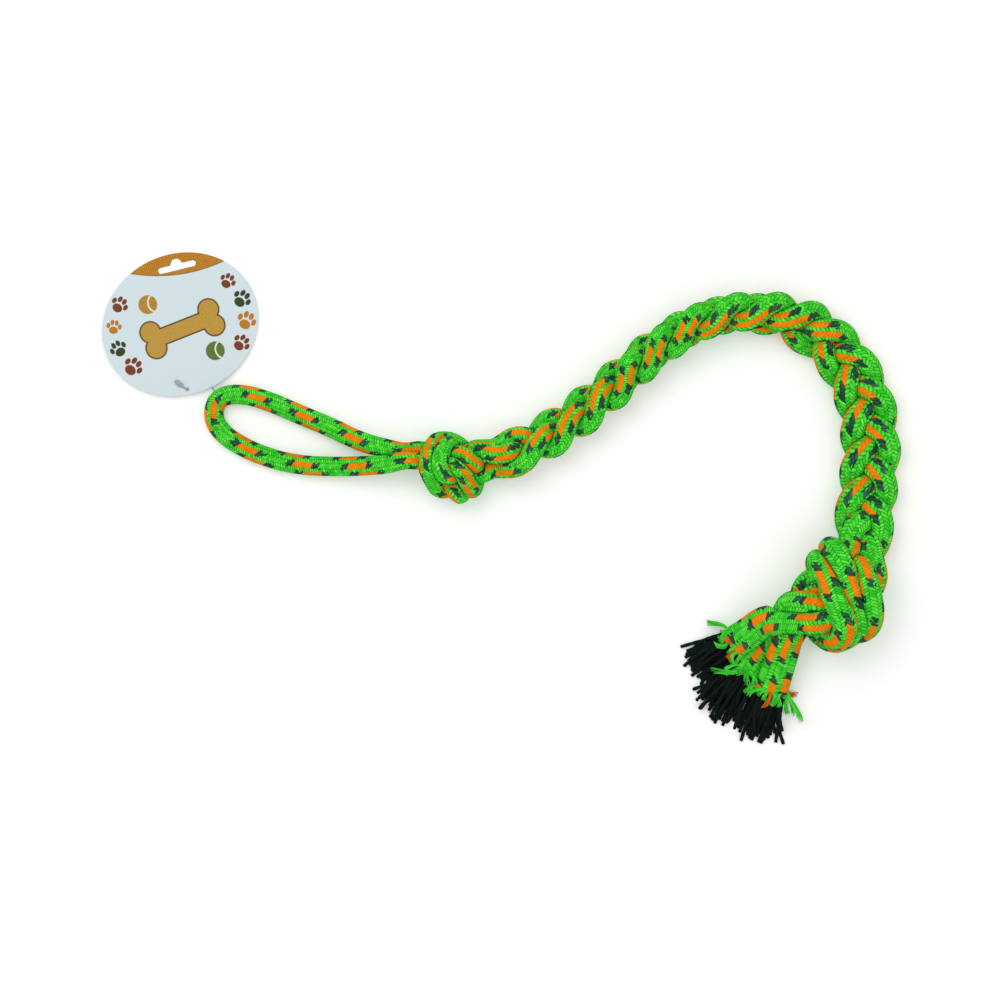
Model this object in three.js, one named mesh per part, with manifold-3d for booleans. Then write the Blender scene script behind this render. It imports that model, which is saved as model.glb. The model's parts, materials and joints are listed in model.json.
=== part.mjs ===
// A rope dog toy, lying on a floor. Two braided ropes are plaited together and tied in a knot at
// each end. One rope comes back as a hand loop, three cut tails end the other knot, and a card
// tag hangs from the loop on a nylon pin. Millimetres, +Z up, floor at z = 0.
import * as THREE from 'three';
import { mergeVertices } from 'three/addons/utils/BufferGeometryUtils.js';
import Module from 'manifold-3d';

const wasm = await Module();
wasm.setup();

// Rope
const ropeDiameter = 15.8; // where it lies free
const endKnotRope = 20; // where it spreads in the end knot
const handleKnotRope = 14.2; // where it is drawn tight in the handle knot
const touchGap = 1.2; // between two passes that press on each other
const floorFlat = 1.3; // depth to which the rope flattens on the floor
const ringStep = 8.1; // between the rings of a rope's solid
const ropeSides = 9;
const lineStep = 2; // between the points of a rope's middle line
const seamGap = 0.3; // between two solids that meet
const easing = 30; // length over which a rope regains its free width beyond the handle knot

// Plait
const plaitReach = 12.4; // from the middle of the plait to a strand's middle at its edge
const plaitTightReach = 12.8; // the same where the plait is drawn tight
const plaitRise = 6.4; // from the middle of the plait to a strand's middle at a crossing
const plaitRope = [21, 15.4]; // width and height of a strand where the plait lies flat
const plaitTightRope = [16.4, 14.2]; // the same where the plait is drawn tight
const plaitPeriod = 95; // one strand's way from edge to edge and back
const plaitCornerShare = 1 / 9; // how much a strand's run is straightened between two edges
const plaitPhase = 404; // distance along the plait at which strand 1 lies at the left edge
const plaitTwist = THREE.MathUtils.degToRad(122); // turn of the plait at the handle knot
const edgeTurn = THREE.MathUtils.degToRad(90); // its turn where it stands on edge
const edgeShare = 0.5; // of the plait's length, where it stands on edge
const twistShares = [0.48, 0.68]; // of its length, between which it turns down flat
const tightShares = [0.52, 0.7]; // between which it goes from tight to loose
const neckBlend = 27; // length over which the strands gather into a knot
const strandPacking = 12.4; // how close the middles of two strands lie

// Knots: how close the middles of two rope passes lie
const handleKnotPacking = 9.9;
const endKnotPacking = 13;
const handleKnotHeight = 50;
const endKnotHeight = 66;
const handleKnotShift = [0, -8]; // how far each knot lies beside the line between its necks
const endKnotShift = [10, -12];
const slackShare = 0.22; // of a knot's ropes, over which they swing out to it from a neck
const handleKnotRoll = THREE.MathUtils.degToRad(130);
const endKnotRoll = THREE.MathUtils.degToRad(40);
const handleBundleTurn = THREE.MathUtils.degToRad(0);
const endBundleTurn = THREE.MathUtils.degToRad(0);

// Tails
const tailSheathWall = 1.8;
const tailNeck = [19, 17]; // width and height of a tail where it leaves the knot
const tailMiddle = [26, 17];
const tailRim = [29, 18];
const yarnDiameter = 2.8;
const yarnSides = 4;
const yarnCount = 20;
const yarnReach = 34; // beyond the rim of the sheath
const yarnSag = 5;
const goldenTurn = Math.PI * (3 - Math.sqrt(5));
const yarnSpread = 4.1; // outward lean of the outer yarns at their tips
const coreSlug = 2.5; // how far the packed core stands out of the sheath
const buriedEnd = 15; // how far short of the loop's neck the short rope ends

// Hang tag
const tagLength = 128;
const tagBreadth = 113;
const tagThickness = 0.5;
const tagCurve = 16; // sides of a quarter of its outline
const tagTurn = THREE.MathUtils.degToRad(25.6);
const tagDroop = THREE.MathUtils.degToRad(2.16); // its far edge rests on the floor
const slotLength = 31;
const slotWidth = 4.8;
const slotHump = 4.4; // how far the hump stands over the slot
const slotTurn = THREE.MathUtils.degToRad(13.7);
const slotShares = [0.2711, 0.7556]; // of half the tag's length and breadth, from its middle
const holeShares = [-0.2734, -0.8839];
const pinHole = [-251, 88.2, 4.5];
const pinHoleDiameter = 3.6;

// Tag pin
const pinThread = 1.1;
const pinBar = 1.7;
const pinBarLength = 9;
const pinPaddle = [8, 4.4, 0.9];
const pinDip = THREE.MathUtils.degToRad(36); // how far down the slot in the rope reaches
const pinLift = THREE.MathUtils.degToRad(32); // and how far up
const pinHeading = THREE.MathUtils.degToRad(129);
const pinRoute = [
  [-227.7, 85.4, 5.8], [-229.2, 87.3, 4.9], [-230.9, 89.5, 3.6], [-233.5, 91.7, 2.9], [-237, 93, 2.6],
  [-243, 91.6, 2.3], [-248.5, 89.3, 2.4], [-250.9, 88.3, 3.6], [-251.2, 88.3, 5.2], [-252.8, 89.5, 6],
  [-257.5, 93, 5.7],
];

const V = (x, y, z) => new THREE.Vector3(x, y, z);
const UP = V(0, 0, 1);

// Directions in which the ropes leave the knots, as turns about the upright
const handlePlaitHeading = THREE.MathUtils.degToRad(12);
const handleLoopHeading = THREE.MathUtils.degToRad(178);
const endPlaitHeading = THREE.MathUtils.degToRad(62);
const endTailsHeading = THREE.MathUtils.degToRad(220);

// Necks of the knots, and the routes of the free ropes, chosen by hand
const handleNeckPlait = V(-2.4, 32.8, 25);
const handleNeckLoop = V(-72.8, 31.2, 23);
const endNeckPlait = V(286.4, -44.8, 25.2);
const endNeckTails = V(231.2, -91.2, 24.2);
const plaitRoute = [
  [-2.4, 32.8], [27.1, 44.7], [53.8, 61], [79.8, 81.4], [103.1, 102.1], [127.8, 122.7],
  [155.7, 139.9], [185.4, 148.8], [217.8, 147.8], [247.3, 136.7], [271.4, 116.5],
  [288.2, 88.6], [295.7, 57.9], [295.9, 25.7], [291.4, -10], [286.4, -44.8],
];
const loopRoute = [
  [-92, 27.4, 23], [-111, 26.8, 17.5], [-130.4, 26.4, 12], [-157.6, 27.6, 8], [-180.8, 32.2, 6.6],
  [-204.8, 41.6, 6.6], [-221, 52, 6.6], [-229, 62.5, 6.6], [-229.6, 73.5, 6.6], [-225, 81.5, 6.6],
  [-213.5, 84.6, 6.6], [-199, 82.9, 6.6], [-180, 76.5, 6.6], [-156, 66.2, 7], [-136, 58, 9.5],
  [-116.8, 48.8, 14], [-96, 41.2, 20],
];
const tailRoutes = [
  [[213, -97, 27], [199, -107, 20], [186, -117, 12]],
  [[229, -112, 27], [222, -133, 20], [215, -154.5, 12]],
  [[220, -104, 18], [207, -121, 11], [194, -139, 8.5]],
];

const green = 0x35cc35;
const coreBlack = 0x101d1c;
const cardWhite = 0xd0dfe3;
const nylonWhite = 0xe8ecec;

const smooth = (t) => THREE.MathUtils.smoothstep(t, 0, 1);
const mean = (list) => list.reduce((sum, p) => sum.add(p), V(0, 0, 0)).divideScalar(list.length);
const evenly = (points, step) => {
  const curve = new THREE.CatmullRomCurve3(points);
  curve.arcLengthDivisions = points.length * 8;
  return curve.getSpacedPoints(Math.max(4, Math.round(curve.getLength() / step)));
};

// Ties three ropes side by side in an overhand knot between two necks. They start on a loose
// open trefoil. Then each is drawn straight again and again, while passes that come too near
// each other push apart, until the knot is tight.
function tieKnot({ from, to, packing, roll, turn, diameter, height, shift }) {
  const knots = 90;
  const rounds = 1600;
  const along = to.clone().sub(from).normalize();
  const high = UP.clone().addScaledVector(along, -along.z).normalize();
  const across = high.clone().cross(along).applyAxisAngle(along, roll);
  high.applyAxisAngle(along, roll);
  const middle = mean([from, to]);
  const width = 1.9 * packing;
  const length = 1.2 * packing;
  const reach = 2.02;
  const lowest = diameter / 2 - floorFlat;
  const trefoil = [];
  for (let i = 0; i <= knots; i += 1) {
    const t = reach * (2 * i / knots - 1);
    trefoil.push(middle.clone()
      .addScaledVector(across, width * (t ** 3 - 3 * t))
      .addScaledVector(high, width * (t ** 4 - 4 * t ** 2 + 2))
      .addScaledVector(along, length * (t ** 5 - 10 * t)));
  }
  const curve = new THREE.CatmullRomCurve3(trefoil);
  curve.arcLengthDivisions = 8 * knots;
  const line = curve.getSpacedPoints(knots);
  const bundle = packing / Math.sqrt(3);
  const side = high.clone();
  const ropes = [[], [], []];
  line.forEach((point, i) => {
    const tangent = line[Math.min(i + 1, knots)].clone().sub(line[Math.max(i - 1, 0)]).normalize();
    side.addScaledVector(tangent, -side.dot(tangent)).normalize();
    ropes.forEach((rope, k) => {
      const out = side.clone().applyAxisAngle(tangent, turn + 2 * Math.PI * k / 3);
      rope.push(point.clone().addScaledVector(out, 1.15 * bundle));
    });
  });
  const gather = (index, neck) => {
    const centre = mean(ropes.map((rope) => rope[index]));
    return ropes.map((rope) => {
      const out = rope[index].clone().sub(centre);
      out.addScaledVector(along, -out.dot(along));
      return out.setLength(1.03 * bundle).add(neck);
    });
  };
  const starts = gather(0, from);
  const ends = gather(knots, to);
  const loose = ropes.map((rope) => [rope[0].clone(), rope[knots].clone()]);
  const all = ropes.flat();
  const target = V(0, 0, 0);
  for (let round = 0; round < rounds; round += 1) {
    const slide = smooth(Math.min(1, round / (0.6 * rounds)));
    ropes.forEach((rope, k) => {
      rope[0].lerpVectors(loose[k][0], starts[k], slide);
      rope[knots].lerpVectors(loose[k][1], ends[k], slide);
      const old = rope.map((p) => p.clone());
      for (let i = 1; i < knots && round < 0.97 * rounds; i += 1) {
        rope[i].lerp(target.addVectors(old[i - 1], old[i + 1]).multiplyScalar(0.5), 0.35);
      }
    });
    const step = ropes[0][knots / 2].distanceTo(ropes[0][knots / 2 + 1]);
    for (let pass = 0; pass < 3; pass += 1) pushApart(all, knots + 1, packing, 1.7 * packing / step);
    for (const point of all) point.z = THREE.MathUtils.clamp(point.z, lowest, height - diameter / 2);
  }
  const aside = V(...shift, 0);
  for (const rope of ropes) {
    rope.forEach((point, i) => {
      point.addScaledVector(aside, smooth(Math.min(1, Math.min(i, knots - i) / (slackShare * knots))));
    });
  }
  for (let pass = 0; pass < 60; pass += 1) {
    pushApart(all, knots + 1, packing, 1.7 * packing / ropes[0][0].distanceTo(ropes[0][1]));
    for (const point of all) point.z = THREE.MathUtils.clamp(point.z, lowest, height - diameter / 2);
  }
  return ropes;
}

// Moves every two points that lie nearer than the packing apart, except neighbours on one rope.
function pushApart(all, count, packing, near) {
  for (let u = 0; u < all.length; u += 1) {
    const p = all[u];
    const iu = u % count;
    for (let v = u + 1; v < all.length; v += 1) {
      const q = all[v];
      const dx = q.x - p.x;
      if (dx > packing || dx < -packing) continue;
      const dy = q.y - p.y;
      const dz = q.z - p.z;
      const square = dx * dx + dy * dy + dz * dz;
      if (square >= packing * packing) continue;
      const iv = v % count;
      if (u - iu === v - iv && iv - iu < near) continue;
      const distance = Math.sqrt(square);
      const push = 0.45 * (packing / distance - 1);
      if (iu > 0 && iu < count - 1) p.set(p.x - dx * push, p.y - dy * push, p.z - dz * push);
      if (iv > 0 && iv < count - 1) q.set(q.x + dx * push, q.y + dy * push, q.z + dz * push);
    }
  }
}

const plaitLooseness = (share) => THREE.MathUtils.smoothstep(share, ...tightShares);
const plaitReachAt = (share) => THREE.MathUtils.lerp(plaitTightReach, plaitReach, plaitLooseness(share));
const plaitTurnAt = (share) => plaitTwist
  - (plaitTwist - edgeTurn) * THREE.MathUtils.smoothstep(share, 0, edgeShare)
  - edgeTurn * THREE.MathUtils.smoothstep(share, ...twistShares);

// Width and height of a strand at a share of the plait's length from the handle knot
const plaitSection = (share) => plaitRope
  .map((size, i) => THREE.MathUtils.lerp(plaitTightRope[i], size, plaitLooseness(share)));

// The middle line of the plait, high enough at each turn to rest on the floor
function plaitMiddle() {
  const flat = evenly(plaitRoute.map(([x, y]) => V(x, y, 0)), lineStep);
  const total = (flat.length - 1) * flat[0].distanceTo(flat[1]);
  return flat.map((point, i) => {
    const share = i / (flat.length - 1);
    const turn = plaitTurnAt(share);
    const reach = plaitReachAt(share);
    const rest = plaitSection(share)[1] / 2 - floorFlat
      + Math.hypot(reach * Math.sin(turn), plaitRise * Math.cos(turn));
    const toHandle = smooth(share * total / (1.6 * neckBlend));
    const toEnd = smooth((1 - share) * total / (1.6 * neckBlend));
    const z = rest + (handleNeckPlait.z - rest) * (1 - toHandle) + (endNeckPlait.z - rest) * (1 - toEnd);
    return { point: point.setZ(z), along: share * total, turn, reach };
  });
}

// Where the three strands run between the necks, gathered at each neck to the knot's ropes
function plaitStrands(middle, handleEnds, endEnds) {
  const total = middle.at(-1).along;
  const offsets = (index) => {
    const { along, turn, reach } = middle[index];
    const before = middle[Math.max(index - 1, 0)].point;
    const after = middle[Math.min(index + 1, middle.length - 1)].point;
    const tangent = after.clone().sub(before).normalize();
    const left = UP.clone().cross(tangent).normalize();
    const a = left.clone().applyAxisAngle(tangent, turn);
    const b = tangent.clone().cross(a).normalize();
    return [0, 1, 2].map((k) => {
      const angle = 2 * Math.PI * ((along - plaitPhase) / plaitPeriod + 0.25 + k / 3);
      const swing = (Math.sin(angle) - plaitCornerShare * Math.sin(3 * angle)) / (1 + plaitCornerShare);
      return a.clone().multiplyScalar(reach * swing).addScaledVector(b, plaitRise * Math.sin(2 * angle));
    });
  };
  const match = (own, ends, neck) => {
    const orders = [[0, 1, 2], [0, 2, 1], [1, 0, 2], [1, 2, 0], [2, 0, 1], [2, 1, 0]];
    const miss = (order) => order.reduce((sum, j, k) => sum
      + own[k].distanceToSquared(ends[j].clone().sub(neck)), 0);
    return orders.sort((p, q) => miss(p) - miss(q))[0];
  };
  const handleOrder = match(offsets(0), handleEnds, handleNeckPlait);
  const endOrder = match(offsets(middle.length - 1), endEnds, endNeckPlait);
  const strands = [[], [], []];
  middle.forEach(({ point, along }, i) => {
    const own = offsets(i);
    const fromHandle = smooth(along / neckBlend);
    const fromEnd = smooth((total - along) / neckBlend);
    own.forEach((offset, k) => {
      const atHandle = handleEnds[handleOrder[k]].clone().sub(handleNeckPlait);
      const atEnd = endEnds[endOrder[k]].clone().sub(endNeckPlait);
      offset.lerp(atHandle, 1 - fromHandle).lerp(atEnd, 1 - fromEnd);
      strands[k].push(point.clone().add(offset));
    });
  });
  settleNecks(strands);
  return { strands, handleOrder, endOrder };
}

// Eases the strands apart where they gather into the knots
function settleNecks(strands) {
  const count = strands[0].length;
  const reach = 1.8 * neckBlend / lineStep;
  for (let round = 0; round < 90; round += 1) {
    for (const strand of strands) {
      const old = strand.map((point) => point.clone());
      for (let i = 1; i < count - 1; i += 1) {
        const share = smooth(Math.max(0, 1 - Math.min(i, count - 1 - i) / reach));
        strand[i].lerp(mean([old[i - 1].clone(), old[i + 1].clone()]), 0.6 * share);
      }
    }
    pushApart(strands.flat(), count, strandPacking, 1.7 * strandPacking / lineStep);
  }
}

// Joins stretches of one rope to a single even line and rounds the joins
function joinLine(parts) {
  const points = parts.flatMap((part, i) => (i ? part.slice(1) : part));
  let line = evenly(points, lineStep);
  for (let round = 0; round < 6; round += 1) {
    line = line.map((p, i) => (i === 0 || i === line.length - 1 ? p
      : p.clone().lerp(mean([line[i - 1].clone(), line[i + 1].clone()]), 0.5)));
  }
  return line;
}

// One rope's even middle line
function ropeLine(parts) {
  const line = joinLine(parts);
  const step = line[0].distanceTo(line[1]);
  return { line, step, length: step * (line.length - 1) };
}

const pointAt = (rope, along) => {
  const place = THREE.MathUtils.clamp(along / rope.step, 0, rope.line.length - 1.001);
  const index = Math.floor(place);
  return rope.line[index].clone().lerp(rope.line[index + 1], place - index);
};

// How far a section may reach from its middle along a direction: to its own width and height, to
// halfway to any other pass of rope, and to the floor
function reachAlong(centre, out, [width, height], others) {
  const radius = 0.5 / Math.hypot(Math.hypot(out.x, out.y) / width, out.z / height);
  let reach = radius;
  const apart = V(0, 0, 0);
  for (const other of others) {
    apart.subVectors(other, centre);
    const distance = apart.length();
    const facing = out.dot(apart) / distance;
    if (facing <= 0.05) continue;
    reach = Math.min(reach, Math.max(0.5 * (distance - touchGap) / facing, 0.25 * radius));
  }
  if (out.z < -0.05) reach = Math.min(reach, centre.z / -out.z);
  return reach;
}

// The closed tube through rings of points
function tubeOf(rings) {
  const sides = rings[0].length;
  const last = (rings.length - 1) * sides;
  const triangles = [];
  for (let i = 1; i < rings.length; i += 1) {
    for (let j = 0; j < sides; j += 1) {
      const here = i * sides + j;
      const next = i * sides + (j + 1) % sides;
      triangles.push(here, here - sides, next - sides, here, next - sides, next);
    }
  }
  for (let j = 1; j < sides - 1; j += 1) triangles.push(0, j + 1, j, last, last + j, last + j + 1);
  const positions = rings.flat().flatMap((point) => point.toArray());
  return new wasm.Manifold(new wasm.Mesh({
    numProp: 3, vertProperties: Float32Array.from(positions), triVerts: Uint32Array.from(triangles),
  }));
}

// A round rod through a list of points
function rodOf(points, radiusAt, sides) {
  const side = V(0.2, 0.3, 0.9);
  return tubeOf(points.map((point, i) => {
    const before = points[Math.max(i - 1, 0)];
    const after = points[Math.min(i + 1, points.length - 1)];
    const tangent = after.clone().sub(before).normalize();
    side.addScaledVector(tangent, -side.dot(tangent)).normalize();
    return Array.from({ length: sides }, (_, j) => side.clone()
      .applyAxisAngle(tangent, 2 * Math.PI * j / sides).multiplyScalar(radiusAt(i)).add(point));
  }));
}

const ringPlaces = (from, to) => {
  const count = Math.max(2, Math.round((to - from) / ringStep));
  return Array.from({ length: count + 1 }, (_, i) => from + (to - from) * i / count);
};

// The solid round a rope through rings at places along it, set in from the rope's own surface
function ropeTube(rope, places, inset = 0) {
  const sectionAt = sections.get(rope);
  const side = UP.clone();
  const furthest = tailRim[0];
  return tubeOf(places.map((along) => {
    const centre = pointAt(rope, along);
    const tangent = pointAt(rope, along + lineStep).sub(pointAt(rope, along - lineStep)).normalize();
    side.addScaledVector(tangent, -side.dot(tangent)).normalize();
    const others = passes.flatMap((other) => other.line.filter((p, j) => {
      const near = p.distanceToSquared(centre) < furthest * furthest;
      return near && (other !== rope || Math.abs(j * other.step - along) > 2 * ropeDiameter);
    }));
    const span = [-0.5, 0, 0.5].map((share) => pointAt(rope, along + share * ringStep));
    return Array.from({ length: ropeSides }, (__, j) => {
      const out = side.clone().applyAxisAngle(tangent, 2 * Math.PI * j / ropeSides);
      const reach = Math.min(...span.map((point) => reachAlong(point, out, sectionAt(along), others)));
      return centre.clone().addScaledVector(out, reach - inset);
    });
  }));
}

function solidOf(geometry) {
  const bare = geometry.clone();
  bare.deleteAttribute('normal');
  bare.deleteAttribute('uv');
  const merged = mergeVertices(bare, touchGap / 1e4);
  return new wasm.Manifold(new wasm.Mesh({
    numProp: 3,
    vertProperties: merged.attributes.position.array,
    triVerts: Uint32Array.from(merged.index.array),
  }));
}

function meshOf(name, solid, colour, roughness) {
  const { vertProperties, triVerts } = solid.getMesh();
  const geometry = new THREE.BufferGeometry();
  geometry.setAttribute('position', new THREE.BufferAttribute(Float32Array.from(vertProperties), 3));
  geometry.setIndex(new THREE.BufferAttribute(Uint32Array.from(triVerts), 1));
  geometry.computeVertexNormals();
  const material = new THREE.MeshStandardMaterial({ color: colour, roughness, metalness: 0 });
  const mesh = new THREE.Mesh(geometry, material);
  mesh.name = name;
  return mesh;
}

// A block on the outer side of a neck's plane, which cuts a rope's solid off square
function neckBlock(neck, heading, outward) {
  const size = 6 * ropeDiameter;
  const depth = 3 * ropeDiameter;
  const block = new THREE.BoxGeometry(depth, size, size);
  block.translate((depth - seamGap) / 2, 0, 0);
  block.rotateZ(outward ? heading : heading + Math.PI);
  block.translate(neck.x, neck.y, neck.z);
  return solidOf(block);
}

const handleKnot = tieKnot({
  from: handleNeckPlait, to: handleNeckLoop,
  packing: handleKnotPacking, roll: handleKnotRoll, turn: handleBundleTurn,
  diameter: handleKnotRope, height: handleKnotHeight, shift: handleKnotShift,
});
const endKnot = tieKnot({
  from: endNeckTails, to: endNeckPlait,
  packing: endKnotPacking, roll: endKnotRoll, turn: endBundleTurn,
  diameter: endKnotRope, height: endKnotHeight, shift: endKnotShift,
});
const middle = plaitMiddle();
const { strands, handleOrder, endOrder } = plaitStrands(
  middle, handleKnot.map((rope) => rope[0]), endKnot.map((rope) => rope.at(-1)),
);

// The rope in the handle knot whose end is buried, and the two that go on as the loop
const [buriedRope, lowerLeg, upperLeg] = [0, 1, 2];
const route = (list) => list.map(([x, y, z]) => V(x, y, z));
const tailToLoop = (leg) => {
  const k = handleOrder.indexOf(leg);
  const tail = endOrder[k];
  return [route(tailRoutes[tail]).reverse(), endKnot[tail], [...strands[k]].reverse(), handleKnot[leg]];
};
const backwards = (parts) => parts.map((part) => [...part].reverse()).reverse();
const longRope = ropeLine([...tailToLoop(lowerLeg), route(loopRoute), ...backwards(tailToLoop(upperLeg))]);
const shortRope = ropeLine(tailToLoop(buriedRope));
const passes = [longRope, shortRope];

// Distance along a rope at which it comes nearest to a point
const alongTo = (rope, point) => {
  let best = 0;
  rope.line.forEach((p, i) => {
    if (p.distanceToSquared(point) < rope.line[best].distanceToSquared(point)) best = i;
  });
  return best * rope.step;
};
const necksOf = (rope, leg) => {
  const k = handleOrder.indexOf(leg);
  return [endKnot[endOrder[k]][0], endKnot[endOrder[k]].at(-1), handleKnot[leg][0], handleKnot[leg].at(-1)]
    .map((point) => alongTo(rope, point));
};
const runs = [
  { rope: longRope, rim: coreSlug, necks: necksOf(longRope, lowerLeg) },
  { rope: longRope, rim: longRope.length - coreSlug, necks: necksOf(longRope, upperLeg) },
  { rope: shortRope, rim: coreSlug, necks: necksOf(shortRope, buriedRope) },
];

// Width and height of a rope along its runs, from the rims of the tails to the middle of the loop
function sectionsOf(rope) {
  const own = runs.filter((run) => run.rope === rope).map(({ rim, necks }) => {
    const [tails, endPlait, handlePlait, handleLoop] = necks;
    const onward = Math.sign(handleLoop - rim);
    const plaitPlaces = [1, 0.8, 0.6, 0.4, 0.2, 0].map((share) => [
      THREE.MathUtils.lerp(handlePlait, endPlait, share), plaitSection(share),
    ]);
    return [
      [rim, tailRim], [(rim + tails) / 2, tailMiddle], [tails, tailNeck],
      [tails + onward * easing, [endKnotRope, endKnotRope]],
      [endPlait - onward * easing, [endKnotRope, endKnotRope]], ...plaitPlaces,
      [handlePlait + onward * easing, [handleKnotRope, handleKnotRope]],
      [handleLoop, [handleKnotRope, handleKnotRope]],
      [handleLoop + onward * easing, [ropeDiameter, ropeDiameter]],
    ];
  });
  return (along) => {
    const places = own.length > 1 && along > rope.length / 2 ? own[1] : own[0];
    const onward = Math.sign(places.at(-1)[0] - places[0][0]);
    const next = places.findIndex(([place]) => (place - along) * onward > 0);
    if (next < 0) return places.at(-1)[1];
    if (next === 0) return places[0][1];
    const [before, size] = places[next - 1];
    const [after, nextSize] = places[next];
    const share = smooth((along - before) / (after - before));
    return size.map((value, i) => THREE.MathUtils.lerp(value, nextSize[i], share));
  };
}
const sections = new Map(passes.map((rope) => [rope, sectionsOf(rope)]));

const necks = {
  handlePlait: [handleNeckPlait, handlePlaitHeading],
  handleLoop: [handleNeckLoop, handleLoopHeading],
  endPlait: [endNeckPlait, endPlaitHeading],
  endTails: [endNeckTails, endTailsHeading],
};
const block = (name, outward) => neckBlock(...necks[name], outward);

// The solid without the slivers that a cut at a neck leaves beside it
const largest = (solid) => solid.decompose().reduce((a, b) => (a.volume() > b.volume() ? a : b));

// A stretch of rope between two places along it, cut off square at the necks it runs to
function ropeStretch(rope, from, to, cuts, over = ropeDiameter) {
  const [low, high] = [from, to].sort((p, q) => p - q);
  const start = Math.max(0, low - over);
  const end = Math.min(rope.length, high + over);
  let solid = ropeTube(rope, ringPlaces(start, end));
  for (const [name, outward] of cuts) solid = solid.subtract(block(name, outward));
  return largest(solid);
}

// Rings inside a tail, from the tip of its core past its neck
function innerPlaces({ rim, necks: [neck] }) {
  const towards = Math.sign(neck - rim);
  const [low, high] = [rim, neck].sort((p, q) => p - q);
  return [rim - towards * coreSlug, ...ringPlaces(low, high), neck + towards * ropeDiameter]
    .sort((p, q) => p - q);
}

// The braided sheath of a tail: a tube open at its flared rim
function tailSheath(run) {
  const { rope, rim, necks: [neck] } = run;
  const bore = ropeTube(rope, innerPlaces(run), tailSheathWall);
  return ropeStretch(rope, rim, neck, [['endTails', false]], 0).subtract(bore);
}

// The packed core of a tail, with its yarns spreading out of the rim
function tailCore(run, phase) {
  const { rope, rim, necks: [neck] } = run;
  const towards = Math.sign(neck - rim);
  const tip = rim - towards * coreSlug;
  let solid = ropeTube(rope, innerPlaces(run), tailSheathWall + seamGap).subtract(block('endTails', false));
  const root = pointAt(rope, rim - towards * seamGap);
  const outward = pointAt(rope, tip).sub(root).normalize();
  const side = UP.clone().addScaledVector(outward, -outward.z).normalize();
  const across = outward.clone().cross(side);
  const [width, height] = tailRim.map((size) => size / 2 - tailSheathWall - yarnDiameter / 2);
  for (let k = 0; k < yarnCount; k += 1) {
    const spread = Math.sqrt((k + 0.5) / yarnCount);
    const turn = k * goldenTurn + phase;
    const around = across.clone().multiplyScalar(width * Math.cos(turn))
      .addScaledVector(side, height * Math.sin(turn)).multiplyScalar(0.92 * spread);
    const ragged = 0.72 + 0.28 * Math.sin(k * k * 1.7 + phase);
    const points = [0, 0.45, 1].map((run) => {
      const point = root.clone().addScaledVector(around, 1 + yarnSpread / width * run * run);
      point.addScaledVector(outward, yarnReach * ragged * run);
      point.z = Math.max(point.z - yarnSag * run * run, yarnDiameter / 2);
      return point;
    });
    solid = solid.add(rodOf(points, (i) => yarnDiameter / 2 * (i === 2 ? 0.7 : 1), yarnSides));
  }
  return solid;
}

// The card: an oval with a slot for a shop's hook and a hole for the pin
function hangTag() {
  const card = new THREE.Shape();
  card.absellipse(0, 0, tagLength / 2, tagBreadth / 2, 0, 2 * Math.PI);
  const centre = new THREE.Vector2();
  const inCard = ([x, y]) => new THREE.Vector2(x * tagLength / 2, y * tagBreadth / 2);
  const hole = new THREE.Path();
  const pin = inCard(holeShares);
  hole.absarc(pin.x, pin.y, pinHoleDiameter / 2, 0, 2 * Math.PI, true);
  const slot = new THREE.Path();
  const half = (slotLength - slotWidth) / 2;
  const corner = slotWidth / 2;
  slot.absarc(half, 0, corner, -Math.PI / 2, Math.PI / 2, false);
  slot.absarc(0, corner, slotHump, 0, Math.PI, false);
  slot.absarc(-half, 0, corner, Math.PI / 2, 3 * Math.PI / 2, false);
  const slotMiddle = inCard(slotShares);
  const turned = slot.getPoints(tagCurve / 4)
    .map((point) => point.rotateAround(centre, slotTurn - tagTurn).add(slotMiddle));
  card.holes.push(new THREE.Path(hole.getPoints(tagCurve / 2)), new THREE.Path(turned));
  const sheet = new THREE.ExtrudeGeometry(card, {
    depth: tagThickness, bevelEnabled: false, curveSegments: 2 * tagCurve,
  });
  sheet.translate(-pin.x, -pin.y, -tagThickness / 2);
  sheet.rotateZ(tagTurn);
  sheet.rotateX(-tagDroop);
  sheet.translate(...pinHole);
  return solidOf(sheet);
}

// The pin: a bar buried in the rope, a thread through the card's hole, and a paddle on top of it
const pinPoints = new THREE.CatmullRomCurve3(route(pinRoute)).getPoints(pinRoute.length + 6);
const pinRoot = pinPoints[0];
const barAxis = V(1, 0, 0).applyAxisAngle(UP, pinHeading - Math.PI / 2);
const barOf = (length, radius) => rodOf(
  [-0.5, 0.5].map((share) => pinRoot.clone().addScaledVector(barAxis, share * length)), () => radius, 8,
);
function tagPin() {
  const paddle = new THREE.BoxGeometry(...pinPaddle);
  const end = pinPoints.at(-1);
  const run = end.clone().sub(pinPoints.at(-4));
  paddle.rotateY(-Math.atan2(run.z, Math.hypot(run.x, run.y)));
  paddle.rotateZ(Math.atan2(run.y, run.x));
  paddle.translate(end.x, end.y, end.z);
  const thread = rodOf(pinPoints, () => pinThread / 2, 6);
  return thread.add(barOf(pinBarLength, pinBar / 2)).add(solidOf(paddle));
}

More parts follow.
